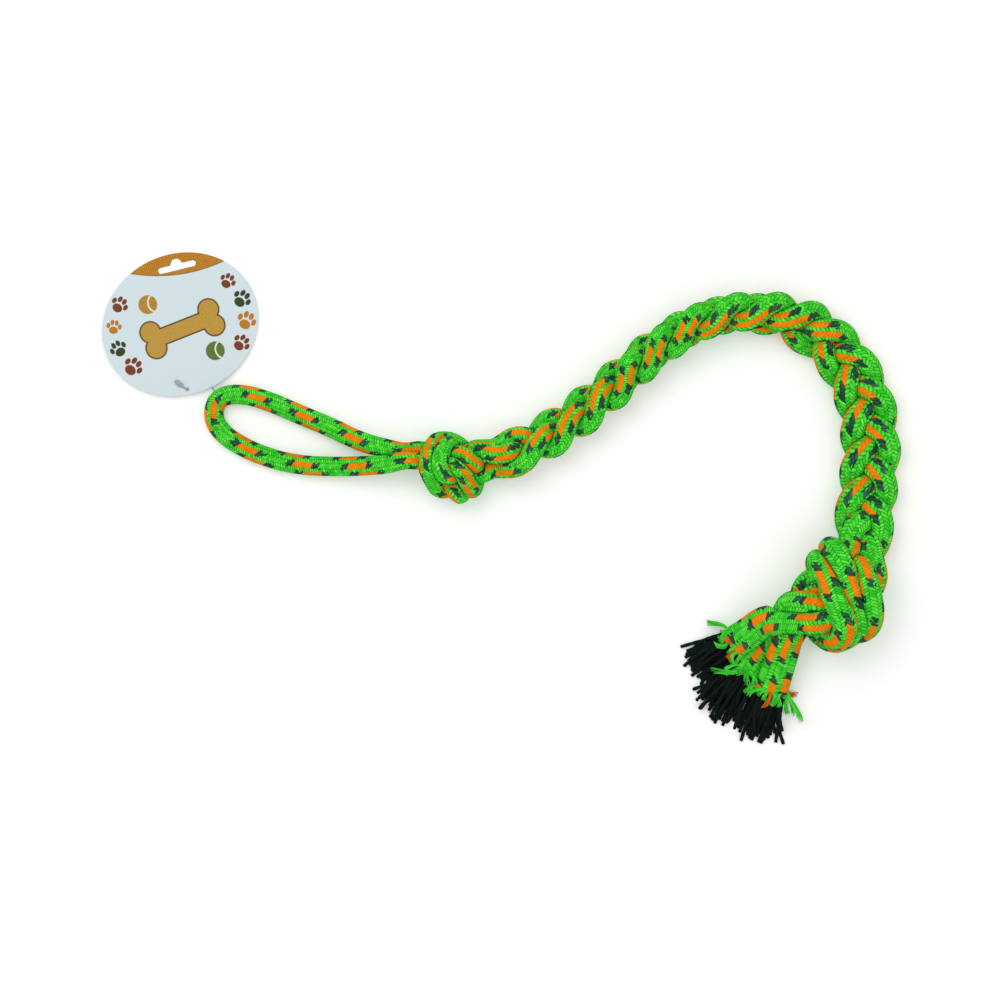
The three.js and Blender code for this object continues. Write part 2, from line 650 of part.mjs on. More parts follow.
// The room that the bar and the lifting thread need in the rope
function pinPocket() {
  const fan = new THREE.Shape();
  const room = pinThread / 2 + 1.5 * seamGap;
  fan.moveTo(0, -room);
  fan.lineTo(ropeDiameter * Math.cos(pinDip), -ropeDiameter * Math.sin(pinDip) - room);
  fan.lineTo(ropeDiameter, 0);
  fan.lineTo(ropeDiameter * Math.cos(pinLift), ropeDiameter * Math.sin(pinLift) + room);
  fan.lineTo(0, room);
  const slot = new THREE.ExtrudeGeometry(fan, { depth: 2 * room, bevelEnabled: false });
  slot.translate(0, 0, -room);
  slot.rotateX(Math.PI / 2);
  slot.rotateZ(pinHeading);
  slot.translate(pinRoot.x, pinRoot.y, pinRoot.z);
  return barOf(pinBarLength + 2 * seamGap, pinBar / 2 + 1.5 * seamGap).add(solidOf(slot));
}

const group = new THREE.Group();
const addRope = (name, solid) => group.add(meshOf(name, solid, green, 0.85));

runs.forEach((run, i) => {
  const { rope } = run;
  const [tails, endPlait, handlePlait, handleLoop] = run.necks;
  const short = rope === shortRope ? buriedEnd + ropeDiameter : 0;
  const last = handleLoop - Math.sign(handleLoop - handlePlait) * short;
  const name = i + 1;
  const strandCuts = [['endPlait', false], ['handlePlait', false]];
  const endCuts = [['endTails', true], ['endPlait', true]];
  const handleCuts = [['handlePlait', true], ['handleLoop', true]];
  addRope(`plait_strand_${name}`, ropeStretch(rope, endPlait, handlePlait, strandCuts));
  addRope(`end_knot_rope_${name}`, ropeStretch(rope, tails, endPlait, endCuts));
  addRope(`handle_knot_rope_${name}`, ropeStretch(rope, handlePlait, last, handleCuts));
  addRope(`tail_sheath_${name}`, tailSheath(run));
  group.add(meshOf(`tail_core_${name}`, tailCore(run, i), coreBlack, 0.95));
});

const loop = ropeStretch(longRope, runs[0].necks[3], runs[1].necks[3], [['handleLoop', false]]);
addRope('hand_loop', loop.subtract(pinPocket()));
group.add(meshOf('tag_pin', tagPin(), nylonWhite, 0.4));
group.add(meshOf('hang_tag', hangTag(), cardWhite, 0.6));

// The origin lies on the floor, under the middle of the whole
const box = new THREE.Box3().setFromObject(group);
const home = box.getCenter(V(0, 0, 0)).setZ(box.min.z).negate();
for (const mesh of group.children) mesh.geometry.translate(home.x, home.y, home.z);
export default group;
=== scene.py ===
"""A rope dog toy on a white floor, seen from straight above: two braided ropes plaited together,
knotted at both ends, with a hand loop, three frayed tails and an oval card tag on a nylon pin."""

import json
import math

import bpy
import numpy as np
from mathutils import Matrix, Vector
from mathutils.kdtree import KDTree


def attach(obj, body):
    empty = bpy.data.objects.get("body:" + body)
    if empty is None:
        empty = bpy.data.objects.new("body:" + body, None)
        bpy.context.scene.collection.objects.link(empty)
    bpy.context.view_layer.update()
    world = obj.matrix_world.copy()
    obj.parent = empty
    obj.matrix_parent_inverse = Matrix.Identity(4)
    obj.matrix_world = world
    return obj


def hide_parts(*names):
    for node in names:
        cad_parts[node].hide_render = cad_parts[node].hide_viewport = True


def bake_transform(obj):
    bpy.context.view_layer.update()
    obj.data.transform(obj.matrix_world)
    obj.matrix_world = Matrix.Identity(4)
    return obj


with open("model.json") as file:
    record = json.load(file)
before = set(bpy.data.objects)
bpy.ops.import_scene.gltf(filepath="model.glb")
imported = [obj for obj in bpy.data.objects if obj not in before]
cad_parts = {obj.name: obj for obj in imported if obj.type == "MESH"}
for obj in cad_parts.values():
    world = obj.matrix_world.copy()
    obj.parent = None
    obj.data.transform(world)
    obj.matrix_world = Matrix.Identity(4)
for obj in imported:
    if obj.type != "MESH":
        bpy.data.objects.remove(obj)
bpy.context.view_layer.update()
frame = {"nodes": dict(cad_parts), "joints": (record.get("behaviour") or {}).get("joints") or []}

MM = 0.001
PIXEL = 0.8 * MM  # one pixel of the photograph on the floor
PICTURE = 1000  # its width in pixels
CAMERA_HEIGHT = 2.6
MID_HEIGHT = 0.012  # of the ropes, where the scale holds
SENSOR = 36
SKY = 0.64
FLOOR_GLOW = 0.2

# Rope: width and height of its section along its way, as in the part's source
ROPE = 15.8 * MM  # where it lies free
END_KNOT_ROPE = (20 * MM, 20 * MM)
HANDLE_KNOT_ROPE = (14.2 * MM, 14.2 * MM)
PLAIT_ROPE = (21 * MM, 15.4 * MM)
PLAIT_TIGHT_ROPE = (16.4 * MM, 14.2 * MM)
TIGHT_SHARES = (0.52, 0.7)  # of the plait's length, between which it goes from tight to loose
TAIL_NECK = (19 * MM, 17 * MM)
TAIL_MIDDLE = (26 * MM, 17 * MM)
TAIL_RIM = (29 * MM, 18 * MM)
EASING = 30 * MM  # length over which a rope takes its next section at a knot
CONTACT = 0.1 * MM  # left between two passes that press on each other
RING_STEP = 0.9 * MM
SIDES = 60  # of a ring
NEAR = 30 * MM  # a rope's own surroundings, which never press on it
NECK_REACH = 60 * MM  # from a neck's hinge to the farthest corner of a rope cut there
SOFTNESS = 0.5 * MM  # rounding of the edges of a flattened side
WALL = 1.8 * MM  # of the braided sheath
RIM_INSET = 2.5 * MM  # from the end of a tail's line to the rim of its sheath

# Braid: wide patterned columns of ribs round the rope, and narrow plain ones between them
COLUMNS = 12
WIDE_SHARE = 0.6  # of each pair of columns, taken by the patterned one
PERIOD = 24  # ribs after which the pattern repeats
ORANGE_RUN = 8  # ribs in a row
BLACK_RUN = 4
SHORTER_SHARE = 0.85  # of the slate marks' last ribs, left out
SPREAD_SHARE = 0.3  # of the narrow column's ribs beside a slate mark, slate too
COLUMN_SHIFT = -4  # ribs by which the pattern moves on at the next patterned column
SLANT = 1.3  # of a rib across a patterned column, in ribs
TOOTH = 0.16  # how far the ribs' ends reach in between those of the next column
RIB_LOWER = 1.98 * MM  # on the loop's lower leg
RIB_UPPER = 1.76 * MM
RIB_PLAIT = 2.05 * MM
RIB_TAIL = 1.45 * MM
RELIEF = 0.2 * MM  # of the columns over the grooves between them

# Routes of the free ropes, as in the part's source, and the necks they run to
NECK_TAILS = (231.2, -91.2)
LOOP_ROUTE = (
    (-92, 27.4, 23), (-111, 26.8, 17.5), (-130.4, 26.4, 12), (-157.6, 27.6, 8), (-180.8, 32.2, 6.6),
    (-204.8, 41.6, 6.6), (-221, 52, 6.6), (-229, 62.5, 6.6), (-229.6, 73.5, 6.6), (-225, 81.5, 6.6),
    (-213.5, 84.6, 6.6), (-199, 82.9, 6.6), (-180, 76.5, 6.6), (-156, 66.2, 7), (-136, 58, 9.5),
    (-116.8, 48.8, 14), (-96, 41.2, 20),
)
TAIL_ROUTES = (
    ((220, -104, 18), (207, -121, 11), (194, -139, 8.5)),
    ((213, -97, 27), (199, -107, 20), (186, -117, 12)),
    ((229, -112, 27), (222, -133, 20), (215, -154.5, 12)),
)
LOWER_DASH = (-157.6, 28.0)  # the middle of an orange dash on top of the loop's lower leg
UPPER_DASH = (-156.0, 66.4)
TAIL_DASHES = ((206, -122), (212.4, -93.6), (224, -116))  # the middles of dashes on the tails
PLAIT_TURN = math.radians(30)  # of the braid about the rope, from a patterned column on top
TAIL_TURNS = (0.0, math.radians(30), 0.0)

joints = {joint["name"]: joint for joint in frame["joints"]}


def neck_of(joint):
    """The place of a neck's hinge, and the horizontal direction across the hinge's axis."""
    place = np.array(joints[joint]["pos_m"])
    axis = np.array(joints[joint]["axis"])
    return place, np.array([-axis[1], axis[0], 0.0])


NECKS = {
    "handle_plait": neck_of("handle_knot_flex"),
    "handle_loop": neck_of("hand_loop_flex"),
    "end_plait": neck_of("end_knot_flex"),
    "end_tails": neck_of("tail_1_flex"),
}
HOME = NECKS["end_tails"][0][:2] - np.array(NECK_TAILS) * MM


def at_home(point):
    x, y, z = point
    return np.array([x * MM + HOME[0], y * MM + HOME[1], z * MM])


def unit(vectors):
    return vectors / np.maximum(np.linalg.norm(vectors, axis=-1, keepdims=True), 1e-12)


def smooth(t):
    t = np.clip(t, 0, 1)
    return t * t * (3 - 2 * t)


def resampled(points, known, wanted):
    """Points of a line at other places along it."""
    return np.stack([np.interp(wanted, known, points[:, axis]) for axis in range(3)], axis=1)


def bell(width, reach):
    """The weights of a bell curve, from -reach to reach."""
    weights = np.exp(-0.5 * (np.arange(-reach, reach + 1) / width) ** 2)
    return weights / weights.sum()


def round_about(side, up, count):
    """Directions round each ring of a tube."""
    angle = np.arange(count)[None, :, None] * 2 * math.pi / count
    return np.cos(angle) * side[:, None] + np.sin(angle) * up[:, None]


# ---- middle lines of the ropes ----


def solid_of(node):
    """The corners of a CAD node, each once, and its triangles."""
    mesh = frame["nodes"][node].data
    corners = np.empty(len(mesh.vertices) * 3, np.float32)
    mesh.vertices.foreach_get("co", corners)
    mesh.calc_loop_triangles()
    triangles = np.empty(len(mesh.loop_triangles) * 3, np.int32)
    mesh.loop_triangles.foreach_get("vertices", triangles)
    points, index = np.unique(np.round(corners.reshape(-1, 3), 6), axis=0, return_inverse=True)
    triangles = index.reshape(-1)[triangles].reshape(-1, 3)
    a, b, c = triangles.T
    ok = (a != b) & (b != c) & (a != c)
    return points.astype(float), triangles[ok]


def all_of(neck):
    """A test for the corners of a rope's solid that lie on the cut at a neck."""

    def test(points, triangles):
        place, across = NECKS[neck]
        away = points - place
        return (np.abs(away @ across) < 0.3 * MM) & (np.linalg.norm(away[:, :2], axis=1) < NECK_REACH)

    return test


def end_at(neck, target):
    """The same where other faces of the solid are cut too: of them, the one nearest to a target."""

    def test(points, triangles):
        cut = all_of(neck)(points, triangles)
        group = np.arange(len(points))
        flat = triangles[cut[triangles].all(1)]
        for _ in range(40):
            low = group[flat].min(1)
            for n in range(3):
                np.minimum.at(group, flat[:, n], low)
        groups = [g for g in np.unique(group[flat]) if (group == g).sum() > 4]
        best = min(groups, key=lambda g: np.linalg.norm(points[group == g].mean(0) - target))
        return group == best

    return test


def tube_line(node, starts, ends):
    """The middle line of a rope's solid from one end to the other. A value that spreads evenly
    over the surface between the ends cuts it in rings, and each ring's middle is on the line."""
    points, triangles = solid_of(node)
    first, last = starts(points, triangles), ends(points, triangles)
    between = first[triangles].any(1) & last[triangles].any(1)
    triangles = triangles[~between]
    count = len(points)
    weights = np.zeros((count, count))
    for a, b, c in ((0, 1, 2), (1, 2, 0), (2, 0, 1)):
        i, j, k = triangles[:, a], triangles[:, b], triangles[:, c]
        u, v = points[i] - points[k], points[j] - points[k]
        cot = (u * v).sum(1) / np.maximum(np.linalg.norm(np.cross(u, v), axis=1), 1e-12)
        cot = np.clip(cot, 0.05, 20)
        np.add.at(weights, (i, j), cot)
        np.add.at(weights, (j, i), cot)
    matrix = np.diag(weights.sum(1)) - weights
    value = np.zeros(count)
    value[last] = 1
    free = ~(first | last)
    value[free] = np.linalg.solve(matrix[np.ix_(free, free)], weights[np.ix_(free, last)].sum(1))
    line = [points[first].mean(0)]
    corner, height = points[triangles], value[triangles]
    for level in np.linspace(0, 1, 160)[1:-1]:
        above = height - level
        above_next = np.roll(above, -1, axis=1)
        hits = above * above_next < 0
        share = np.where(hits, above / np.where(hits, above - above_next, 1), 0)[..., None]
        cuts = corner + (np.roll(corner, -1, axis=1) - corner) * share
        both = hits.sum(1) == 2
        pair = cuts[both][hits[both]].reshape(-1, 2, 3)
        length = np.linalg.norm(pair[:, 1] - pair[:, 0], axis=1)
        length = length * (np.linalg.norm(pair.mean(1) - line[-1], axis=1) < 1.25 * ROPE)
        line.append((pair.mean(1) * length[:, None]).sum(0) / length.sum())
    return np.array(line[1:])


def evenly(points, step):
    """Points along a line, a step apart."""
    along = np.concatenate([[0], np.cumsum(np.linalg.norm(np.diff(points, axis=0), axis=1))])
    count = max(8, int(round(along[-1] / step)))
    return resampled(points, along, np.linspace(0, along[-1], count + 1))


def curve_through(points, each=12):
    """A smooth curve through a few points."""
    points = np.array(points, float)
    padded = np.vstack([2 * points[0] - points[1], points, 2 * points[-1] - points[-2]])
    out = []
    for a, b, c, d in zip(padded, padded[1:], padded[2:], padded[3:]):
        for t in np.arange(each) / each:
            bend, twist = 2 * a - 5 * b + 4 * c - d, 3 * b - a - 3 * c + d
            out.append(0.5 * (2 * b + (c - a) * t + bend * t**2 + twist * t**3))
    return np.vstack([out, points[-1]])


def eased(line, width):
    """The line with its ripples smoothed over a width, its ends kept."""
    sigma = width / np.linalg.norm(line[1] - line[0])
    reach = int(3 * sigma) + 1
    kernel = bell(sigma, reach)
    before = 2 * line[0] - line[reach:0:-1]
    after = 2 * line[-1] - line[-2 : -reach - 2 : -1]
    padded = np.vstack([before, line, after])
    return np.stack([np.convolve(padded[:, k], kernel, "valid") for k in range(3)], axis=1)


def far_end(points, triangles):
    """The last ring of the rope whose end is buried in the handle knot: the corners that the
    surface leads to last from the end at the plait's neck."""
    sides = np.vstack([triangles[:, pair] for pair in ([0, 1], [1, 2], [0, 2])])
    a, b = np.unique(np.sort(sides, axis=1), axis=0).T
    span = np.linalg.norm(points[a] - points[b], axis=1)
    distance = np.where(end_at("handle_plait", PLAIT_LINES[3][-1])(points, triangles), 0.0, 10.0)
    for _ in range(len(points)):
        before = distance.copy()
        np.minimum.at(distance, b, before[a] + span)
        np.minimum.at(distance, a, before[b] + span)
        if np.array_equal(before, distance):
            break
    cap = np.zeros(len(points), bool)
    cap[np.argsort(-distance)[:9]] = True
    return cap


def at_tail(k):
    """Where a tail's line meets the plane of its neck."""
    place, across = NECKS["end_tails"]
    first, second = (at_home(point) for point in TAIL_ROUTES[k - 1][:2])
    onward = unit(first - second)
    return first + onward * ((place - first) @ across) / (onward @ across)


PLAIT_LINES = {
    k: tube_line(f"plait_strand_{k}", all_of("end_plait"), all_of("handle_plait")) for k in (1, 2, 3)
}


def run_of(k):
    """The parts of one rope's run, from the tip of its tail to the handle knot."""
    strand = PLAIT_LINES[k]
    ends = end_at("end_tails", at_tail(k)), end_at("end_plait", strand[0])
    knot = tube_line(f"end_knot_rope_{k}", *ends)
    leg = far_end if k == 3 else all_of("handle_loop")
    handle = tube_line(f"handle_knot_rope_{k}", end_at("handle_plait", strand[-1]), leg)
    tail = curve_through([*[at_home(p) for p in reversed(TAIL_ROUTES[k - 1])], knot[0]])
    return [tail[:-1], knot, strand, handle]


class Rope:
    """A rope's rings: their places and directions, to which the steps below add the section, the
    braid's run in ribs, the reach in each direction and the skin."""

    def __init__(self, parts):
        line = evenly(np.vstack(parts), RING_STEP)
        line = evenly(eased(line, 2.6 * MM), RING_STEP)
        self.line = line
        self.step = np.linalg.norm(line[1] - line[0])
        self.length = self.step * (len(line) - 1)
        self.along = np.arange(len(line)) * self.step
        self.tangent = unit(np.gradient(line, axis=0))
        self.side = self.transport()

    def transport(self):
        """A direction across each ring that never twists, upright at the middle of the rope."""
        side = np.empty_like(self.line)
        middle = len(side) // 2
        for rings in (range(middle, len(side)), range(middle, -1, -1)):
            now = np.array([0.0, 0.0, 1.0])
            for i in rings:
                now = now - self.tangent[i] * (now @ self.tangent[i])
                now /= np.linalg.norm(now)
                side[i] = now
        return side

    def nearest(self, point, low=0, high=None):
        apart = np.linalg.norm(self.line[low:high] - point, axis=1)
        return low + int(np.argmin(apart))


def at_leg(k):
    """The end of the hand loop's solid at the neck that meets the k-th rope of the handle knot."""

    def test(points, triangles):
        cut = all_of("handle_loop")(points, triangles)
        mine, other = (np.linalg.norm(points - runs[n][3][-1], axis=1) for n in (k, 3 - k))
        return cut & (mine < other)

    return test


def backwards(parts):
    return [part[::-1] for part in reversed(parts)]


runs = {k: run_of(k) for k in (1, 2, 3)}
loop = tube_line("hand_loop", at_leg(1), at_leg(2))
long_rope = Rope([*runs[1], loop, *backwards(runs[2])])
short_rope = Rope(runs[3])
ROPE_OF = {1: long_rope, 2: long_rope, 3: short_rope}


def marks_of(k):
    """Where a run's rim and its four necks lie on its rope, as ring numbers."""
    rope = ROPE_OF[k]
    last = len(rope.line) - 1
    half = last // 2
    low, high = {1: (0, half), 2: (half, last + 1), 3: (0, last + 1)}[k]
    rim = int(round(RIM_INSET / rope.step))
    _, knot, strand, handle = runs[k]
    places = [rope.nearest(point, low, high) for point in (knot[0], knot[-1], strand[-1], handle[-1])]
    return [last - rim if k == 2 else rim, *places]


marks = {k: marks_of(k) for k in runs}


def turn_upright(rope):
    """Turns the braid about the rope, so that a patterned column lies on top of the hand loop and
    of the tails, and two of them lie side by side on top of the plait. Knots share out the rest."""
    other = np.cross(rope.tangent, rope.side)
    angle = np.arctan2(other[:, 2], rope.side[:, 2])
    rings, turns = [], []
    stretches = [(marks[1][4], marks[2][4], 0.0)] if rope is long_rope else []
    for k, (rim, tails, end_plait, handle_plait, _) in marks.items():
        if ROPE_OF[k] is rope:
            stretches.append((rim, tails, TAIL_TURNS[k - 1]))
            stretches.append((end_plait, handle_plait, PLAIT_TURN))
    for a, b, extra in sorted((min(a, b), max(a, b), extra) for a, b, extra in stretches):
        flat = [i for i in range(a, b + 1) if abs(rope.tangent[i, 2]) < 0.8]
        rings += flat
        turns += list(angle[flat] + extra)
    turn = np.interp(np.arange(len(rope.line)), rings, np.unwrap(turns))
    turn = np.convolve(np.pad(turn, 20, "edge"), bell(6 * MM / rope.step, 20), "valid")
    rope.side = np.cos(turn)[:, None] * rope.side + np.sin(turn)[:, None] * other


def plait_section(share):
    loose = smooth((share - TIGHT_SHARES[0]) / (TIGHT_SHARES[1] - TIGHT_SHARES[0]))
    return np.array(PLAIT_TIGHT_ROPE) * (1 - loose) + np.array(PLAIT_ROPE) * loose


def stations_of(k):
    """Places along a run, from the tail's rim to the loop, with the rope's section at each."""
    along = ROPE_OF[k].along
    rim, tails, end_plait, handle_plait, handle_loop = (along[ring] for ring in marks[k])
    onward = EASING if handle_loop > rim else -EASING
    shares = (1, 0.8, 0.6, 0.4, 0.2, 0)
    return [
        (rim, TAIL_RIM), ((rim + tails) / 2, TAIL_MIDDLE), (tails, TAIL_NECK),
        (tails + onward, END_KNOT_ROPE), (end_plait - onward, END_KNOT_ROPE),
        *((handle_plait + (end_plait - handle_plait) * share, plait_section(share)) for share in shares),
        (handle_plait + onward, HANDLE_KNOT_ROPE), (handle_loop, HANDLE_KNOT_ROPE),
        (handle_loop + onward, (ROPE, ROPE)),
    ]


def shape(rope):
    """Each ring's width and height, and how far the braid has run, in ribs."""
    along = rope.along
    rope.section = np.full((len(along), 2), ROPE)
    rib = np.full(len(along), RIB_PLAIT)
    for k, (rim, tails, _, _, handle_loop) in marks.items():
        if ROPE_OF[k] is not rope:
            continue
        stations = stations_of(k)
        for (a, before), (b, after) in zip(stations, stations[1:]):
            share = (along - a) / (b - a)
            inside = (share >= 0) & (share <= 1)
            ease = smooth(share[inside])[:, None]
            rope.section[inside] = np.array(before) * (1 - ease) + np.array(after) * ease
        end = (along - along[rim]) * np.sign(handle_loop - rim) < 0
        rope.section[end] = TAIL_RIM
        tail_share = np.abs(along - along[rim]) / (abs(along[tails] - along[rim]) * 0.75)
        rib += (RIB_TAIL - RIB_PLAIT) * smooth(1.6 - tail_share)
        if k < 3:
            free = RIB_LOWER if k == 1 else RIB_UPPER
            away = (along - along[handle_loop]) * np.sign(handle_loop - rim)
            mine = (along <= rope.length / 2) == (k == 1)
            rib += (free - RIB_PLAIT) * smooth(away / EASING) * mine
    rope.braid = np.concatenate([[0], np.cumsum(rope.step / rib[:-1])])


def bulges_of(k):
    """The rings at which a strand of the plait is farthest out on either side."""
    rope = ROPE_OF[k]
    low, high = sorted((marks[k][2], marks[k][3]))
    rings = np.arange(low, high + 1)
    strands = []
    for n, (_, _, end_plait, handle_plait, _) in marks.items():
        line = ROPE_OF[n].line
        strands.append(resampled(line, np.arange(len(line)), np.linspace(end_plait, handle_plait, 400)))
    middle = eased(evenly(sum(strands) / 3, 2 * MM), 30 * MM)
    forward = unit(np.gradient(middle, axis=0))
    apart = rope.line[rings][:, None, :2] - middle[None, :, :2]
    nearest = np.argmin(np.linalg.norm(apart, axis=2), axis=1)
    offset = rope.line[rings] - middle[nearest]
    out = offset[:, 1] * forward[nearest, 0] - offset[:, 0] * forward[nearest, 1]
    gap = int(18 * MM / rope.step)
    return [
        int(rings[i]) for i in range(gap, len(rings) - gap)
        if abs(out[i]) == np.abs(out[i - gap : i + gap + 1]).max()
    ]


def set_pattern(rope):
    """Moves the braid along the rope, so that the pattern lies where the photograph has it: green
    on the outer side of each turn of the plait, and dashes at certain places of loop and tails."""
    wanted = []
    for k in marks:
        if ROPE_OF[k] is not rope:
            continue
        rim, tails = sorted(marks[k][:2])
        place = at_home((*TAIL_DASHES[k - 1], 0))
        ring = rim + int(np.argmin(np.linalg.norm(rope.line[rim : tails + 1, :2] - place[:2], axis=1)))
        wanted.append((ring, ORANGE_RUN / 2, TAIL_TURNS[k - 1]))
        green = (ORANGE_RUN + PERIOD) / 2
        wanted += [(ring, green, PLAIT_TURN) for ring in bulges_of(k)]
    if rope is long_rope:
        low, high = marks[1][4], marks[2][4]
        for x, y in (LOWER_DASH, UPPER_DASH):
            wanted.append((rope.nearest(at_home((x, y, ROPE / MM / 2)), low, high), ORANGE_RUN / 2, 0.0))
    rings, values = [], []
    for ring, phase, turn in sorted(wanted):
        value = phase + turn / (2 * math.pi / (COLUMNS / 2)) * COLUMN_SHIFT
        natural = rope.braid[ring]
        if rings:
            natural += values[-1] - rope.braid[rings[-1]]
        values.append(value + round((natural - value) / PERIOD) * PERIOD)
        rings.append(ring)
    before, after = rope.braid[: rings[0]], rope.braid[rings[-1] + 1 :]
    known = rope.braid[rings]
    rope.braid = np.concatenate([
        before + values[0] - known[0], np.interp(rope.braid[rings[0] : rings[-1] + 1], known, values),
        after + values[-1] - known[-1],
    ])


def press(ropes):
    """How far each ring reaches in each direction: to the rope's own half width, to halfway to
    the other passes, and to the floor, with rounded edges between."""
    known = [(n, i) for n, rope in enumerate(ropes) for i in range(0, len(rope.line), 2)]
    owner = np.array([n for n, _ in known])
    place = np.array([ropes[n].along[i] for n, i in known])
    point_of = np.array([ropes[n].line[i] for n, i in known])
    tree = KDTree(len(known))
    for n, point in enumerate(point_of):
        tree.insert(point, n)
    tree.balance()
    for number, rope in enumerate(ropes):
        rope.out = round_about(rope.side, np.cross(rope.tangent, rope.side), SIDES)
        flat = np.hypot(rope.out[..., 0], rope.out[..., 1]) / rope.section[:, None, 0]
        free = 0.5 / np.hypot(flat, rope.out[..., 2] / rope.section[:, None, 1])
        reach = free.copy()
        for i, centre in enumerate(rope.line):
            limit = np.full(SIDES, 1.0)
            around = float(rope.section[i].max()) + 5 * MM
            found = np.array([n for _, n, _ in tree.find_range(centre, around)], int)
            found = found[(owner[found] != number) | (np.abs(place[found] - rope.along[i]) > NEAR)]
            if len(found):
                apart = point_of[found] - centre
                distance = np.linalg.norm(apart, axis=1)
                facing = rope.out[i] @ (apart / distance[:, None]).T
                halfway = 0.5 * (distance - CONTACT) / np.maximum(facing, 0.05)
                limit = np.where(facing > 0.05, halfway, 1.0).min(1)
            down = -rope.out[i, :, 2]
            floor = np.where(down > 0.05, centre[2] / np.maximum(down, 0.05), 1.0)
            limit = np.maximum(np.minimum(limit, floor), 0.25 * free[i])
            reach[i] = -SOFTNESS * np.log(np.exp(-reach[i] / SOFTNESS) + np.exp(-limit / SOFTNESS))
        padded = np.pad(reach, ((4, 4), (0, 0)), "edge")
        weights = bell(1.3 * MM / rope.step, 4)
        rope.reach = sum(weight * padded[n : n + len(reach)] for n, weight in enumerate(weights))


def relief(u):
    """Height of the braid's columns over the grooves between them, from 0 to 1."""
    pair = np.mod(u / 2, 1)
    wide = pair < WIDE_SHARE
    across = np.where(wide, pair / WIDE_SHARE, (pair - WIDE_SHARE) / (1 - WIDE_SHARE))
    return np.sqrt(np.maximum(0, 1 - 0.95 * (2 * across - 1) ** 2)) * np.where(wide, 1, 0.9)


def skin(rope):
    """The braided surface of a rope, all its rings. A patterned column runs along its top."""
    share = np.arange(SIDES) / SIDES * COLUMNS + WIDE_SHARE
    radius = rope.reach - RELIEF * (1 - relief(share))[None]
    rope.skin = rope.line[:, None] + rope.out * radius[..., None]
    rope.skin[..., 2] = np.maximum(rope.skin[..., 2], 0)


for rope in (long_rope, short_rope):
    turn_upright(rope)
    shape(rope)
    set_pattern(rope)
press([long_rope, short_rope])
for rope in (long_rope, short_rope):
    skin(rope)


# ---- meshes ----


def add(name, data):
    made = bpy.data.objects.new(name, data)
    bpy.context.scene.collection.objects.link(made)
    return made


def new_object(name, points, faces, uvs=None, material=None):
    """An object from corners and faces that all have the same number of sides."""
    mesh = bpy.data.meshes.new(name)
    points = np.asarray(points, np.float32).reshape(-1, 3)
    faces = np.asarray(faces, np.int32)
    sides = faces.shape[1]
    mesh.vertices.add(len(points))
    mesh.vertices.foreach_set("co", points.ravel())
    mesh.loops.add(faces.size)
    mesh.loops.foreach_set("vertex_index", faces.ravel())
    mesh.polygons.add(len(faces))
    mesh.polygons.foreach_set("loop_start", np.arange(0, faces.size, sides, dtype=np.int32))
    if uvs is not None:
        layer = mesh.uv_layers.new(name="Braid")
        layer.data.foreach_set("uv", np.asarray(uvs, np.float32).ravel())
    mesh.update(calc_edges=True)
    mesh.polygons.foreach_set("use_smooth", [True] * len(faces))
    if material:
        mesh.materials.append(material)
    return add(name, mesh)


def tube_faces(rings, sides):
    i = np.arange(rings - 1)[:, None] * sides
    j = np.arange(sides)[None, :]
    k = (j + 1) % sides
    return np.stack([i + j, i + k, i + sides + k, i + sides + j], axis=-1).reshape(-1, 4)


def tube_uvs(left, width, low, high):
    """The corners of each face of a tube, in the braid's own measure."""
    corners = (left, low), (left + width, low), (left + width, high), (left, high)
    return np.stack([np.stack(corner, -1) for corner in corners], axis=1)


SEAL = 6 * MM  # length of the round tip of a melted end
TURNED_IN = 12 * MM  # how far the sheath is seen inside at a cut end


def rope_piece(name, rope, first, last, rim=False, sealed=False):
    """The braided sheath between two rings. At a cut end it turns in over its rim. A sealed end is
    melted to a round tip."""
    step = 1 if last >= first else -1
    rows = np.arange(first, last + step, step)
    points = rope.skin[rows]
    v = rope.braid[rows]
    if sealed:
        left = np.minimum(np.arange(len(rows))[::-1] * rope.step / SEAL, 1)
        narrowed = np.sqrt(np.maximum(1 - (1 - left) ** 2, 0.002))[:, None, None]
        centre = rope.line[rows][:, None]
        points = centre + (points - centre) * narrowed
    if rim:
        inner_rows = rows[: int(TURNED_IN / rope.step)][::-1]
        centre = rope.line[inner_rows][:, None]
        inner = centre + rope.out[inner_rows] * (rope.reach[inner_rows] - WALL)[..., None]
        edge = rope.line[first] + rope.out[first] * (rope.reach[first] - WALL / 2)[:, None]
        edge = edge - step * rope.tangent[first] * WALL / 3
        edge[:, 2] = np.maximum(edge[:, 2], 0)
        points = np.concatenate([inner, edge[None], points])
        v = np.concatenate([rope.braid[inner_rows], [rope.braid[first]], v])
    count = len(points)
    faces = tube_faces(count, SIDES)
    share = np.tile(np.arange(SIDES) / SIDES * COLUMNS + WIDE_SHARE, count - 1)
    uv = tube_uvs(share, COLUMNS / SIDES, np.repeat(v[:-1], SIDES), np.repeat(v[1:], SIDES))
    if step < 0:
        faces, uv = faces[:, ::-1], uv[:, ::-1]
    piece = new_object(name, points, faces, uv, SHEATH)
    return piece


# ---- materials ----


def linear(*rgb):
    """A colour given as it looks on a screen, in the renderer's linear values."""
    return (*(c / 255 / 12.92 if c <= 10 else ((c / 255 + 0.055) / 1.055) ** 2.4 for c in rgb), 1.0)


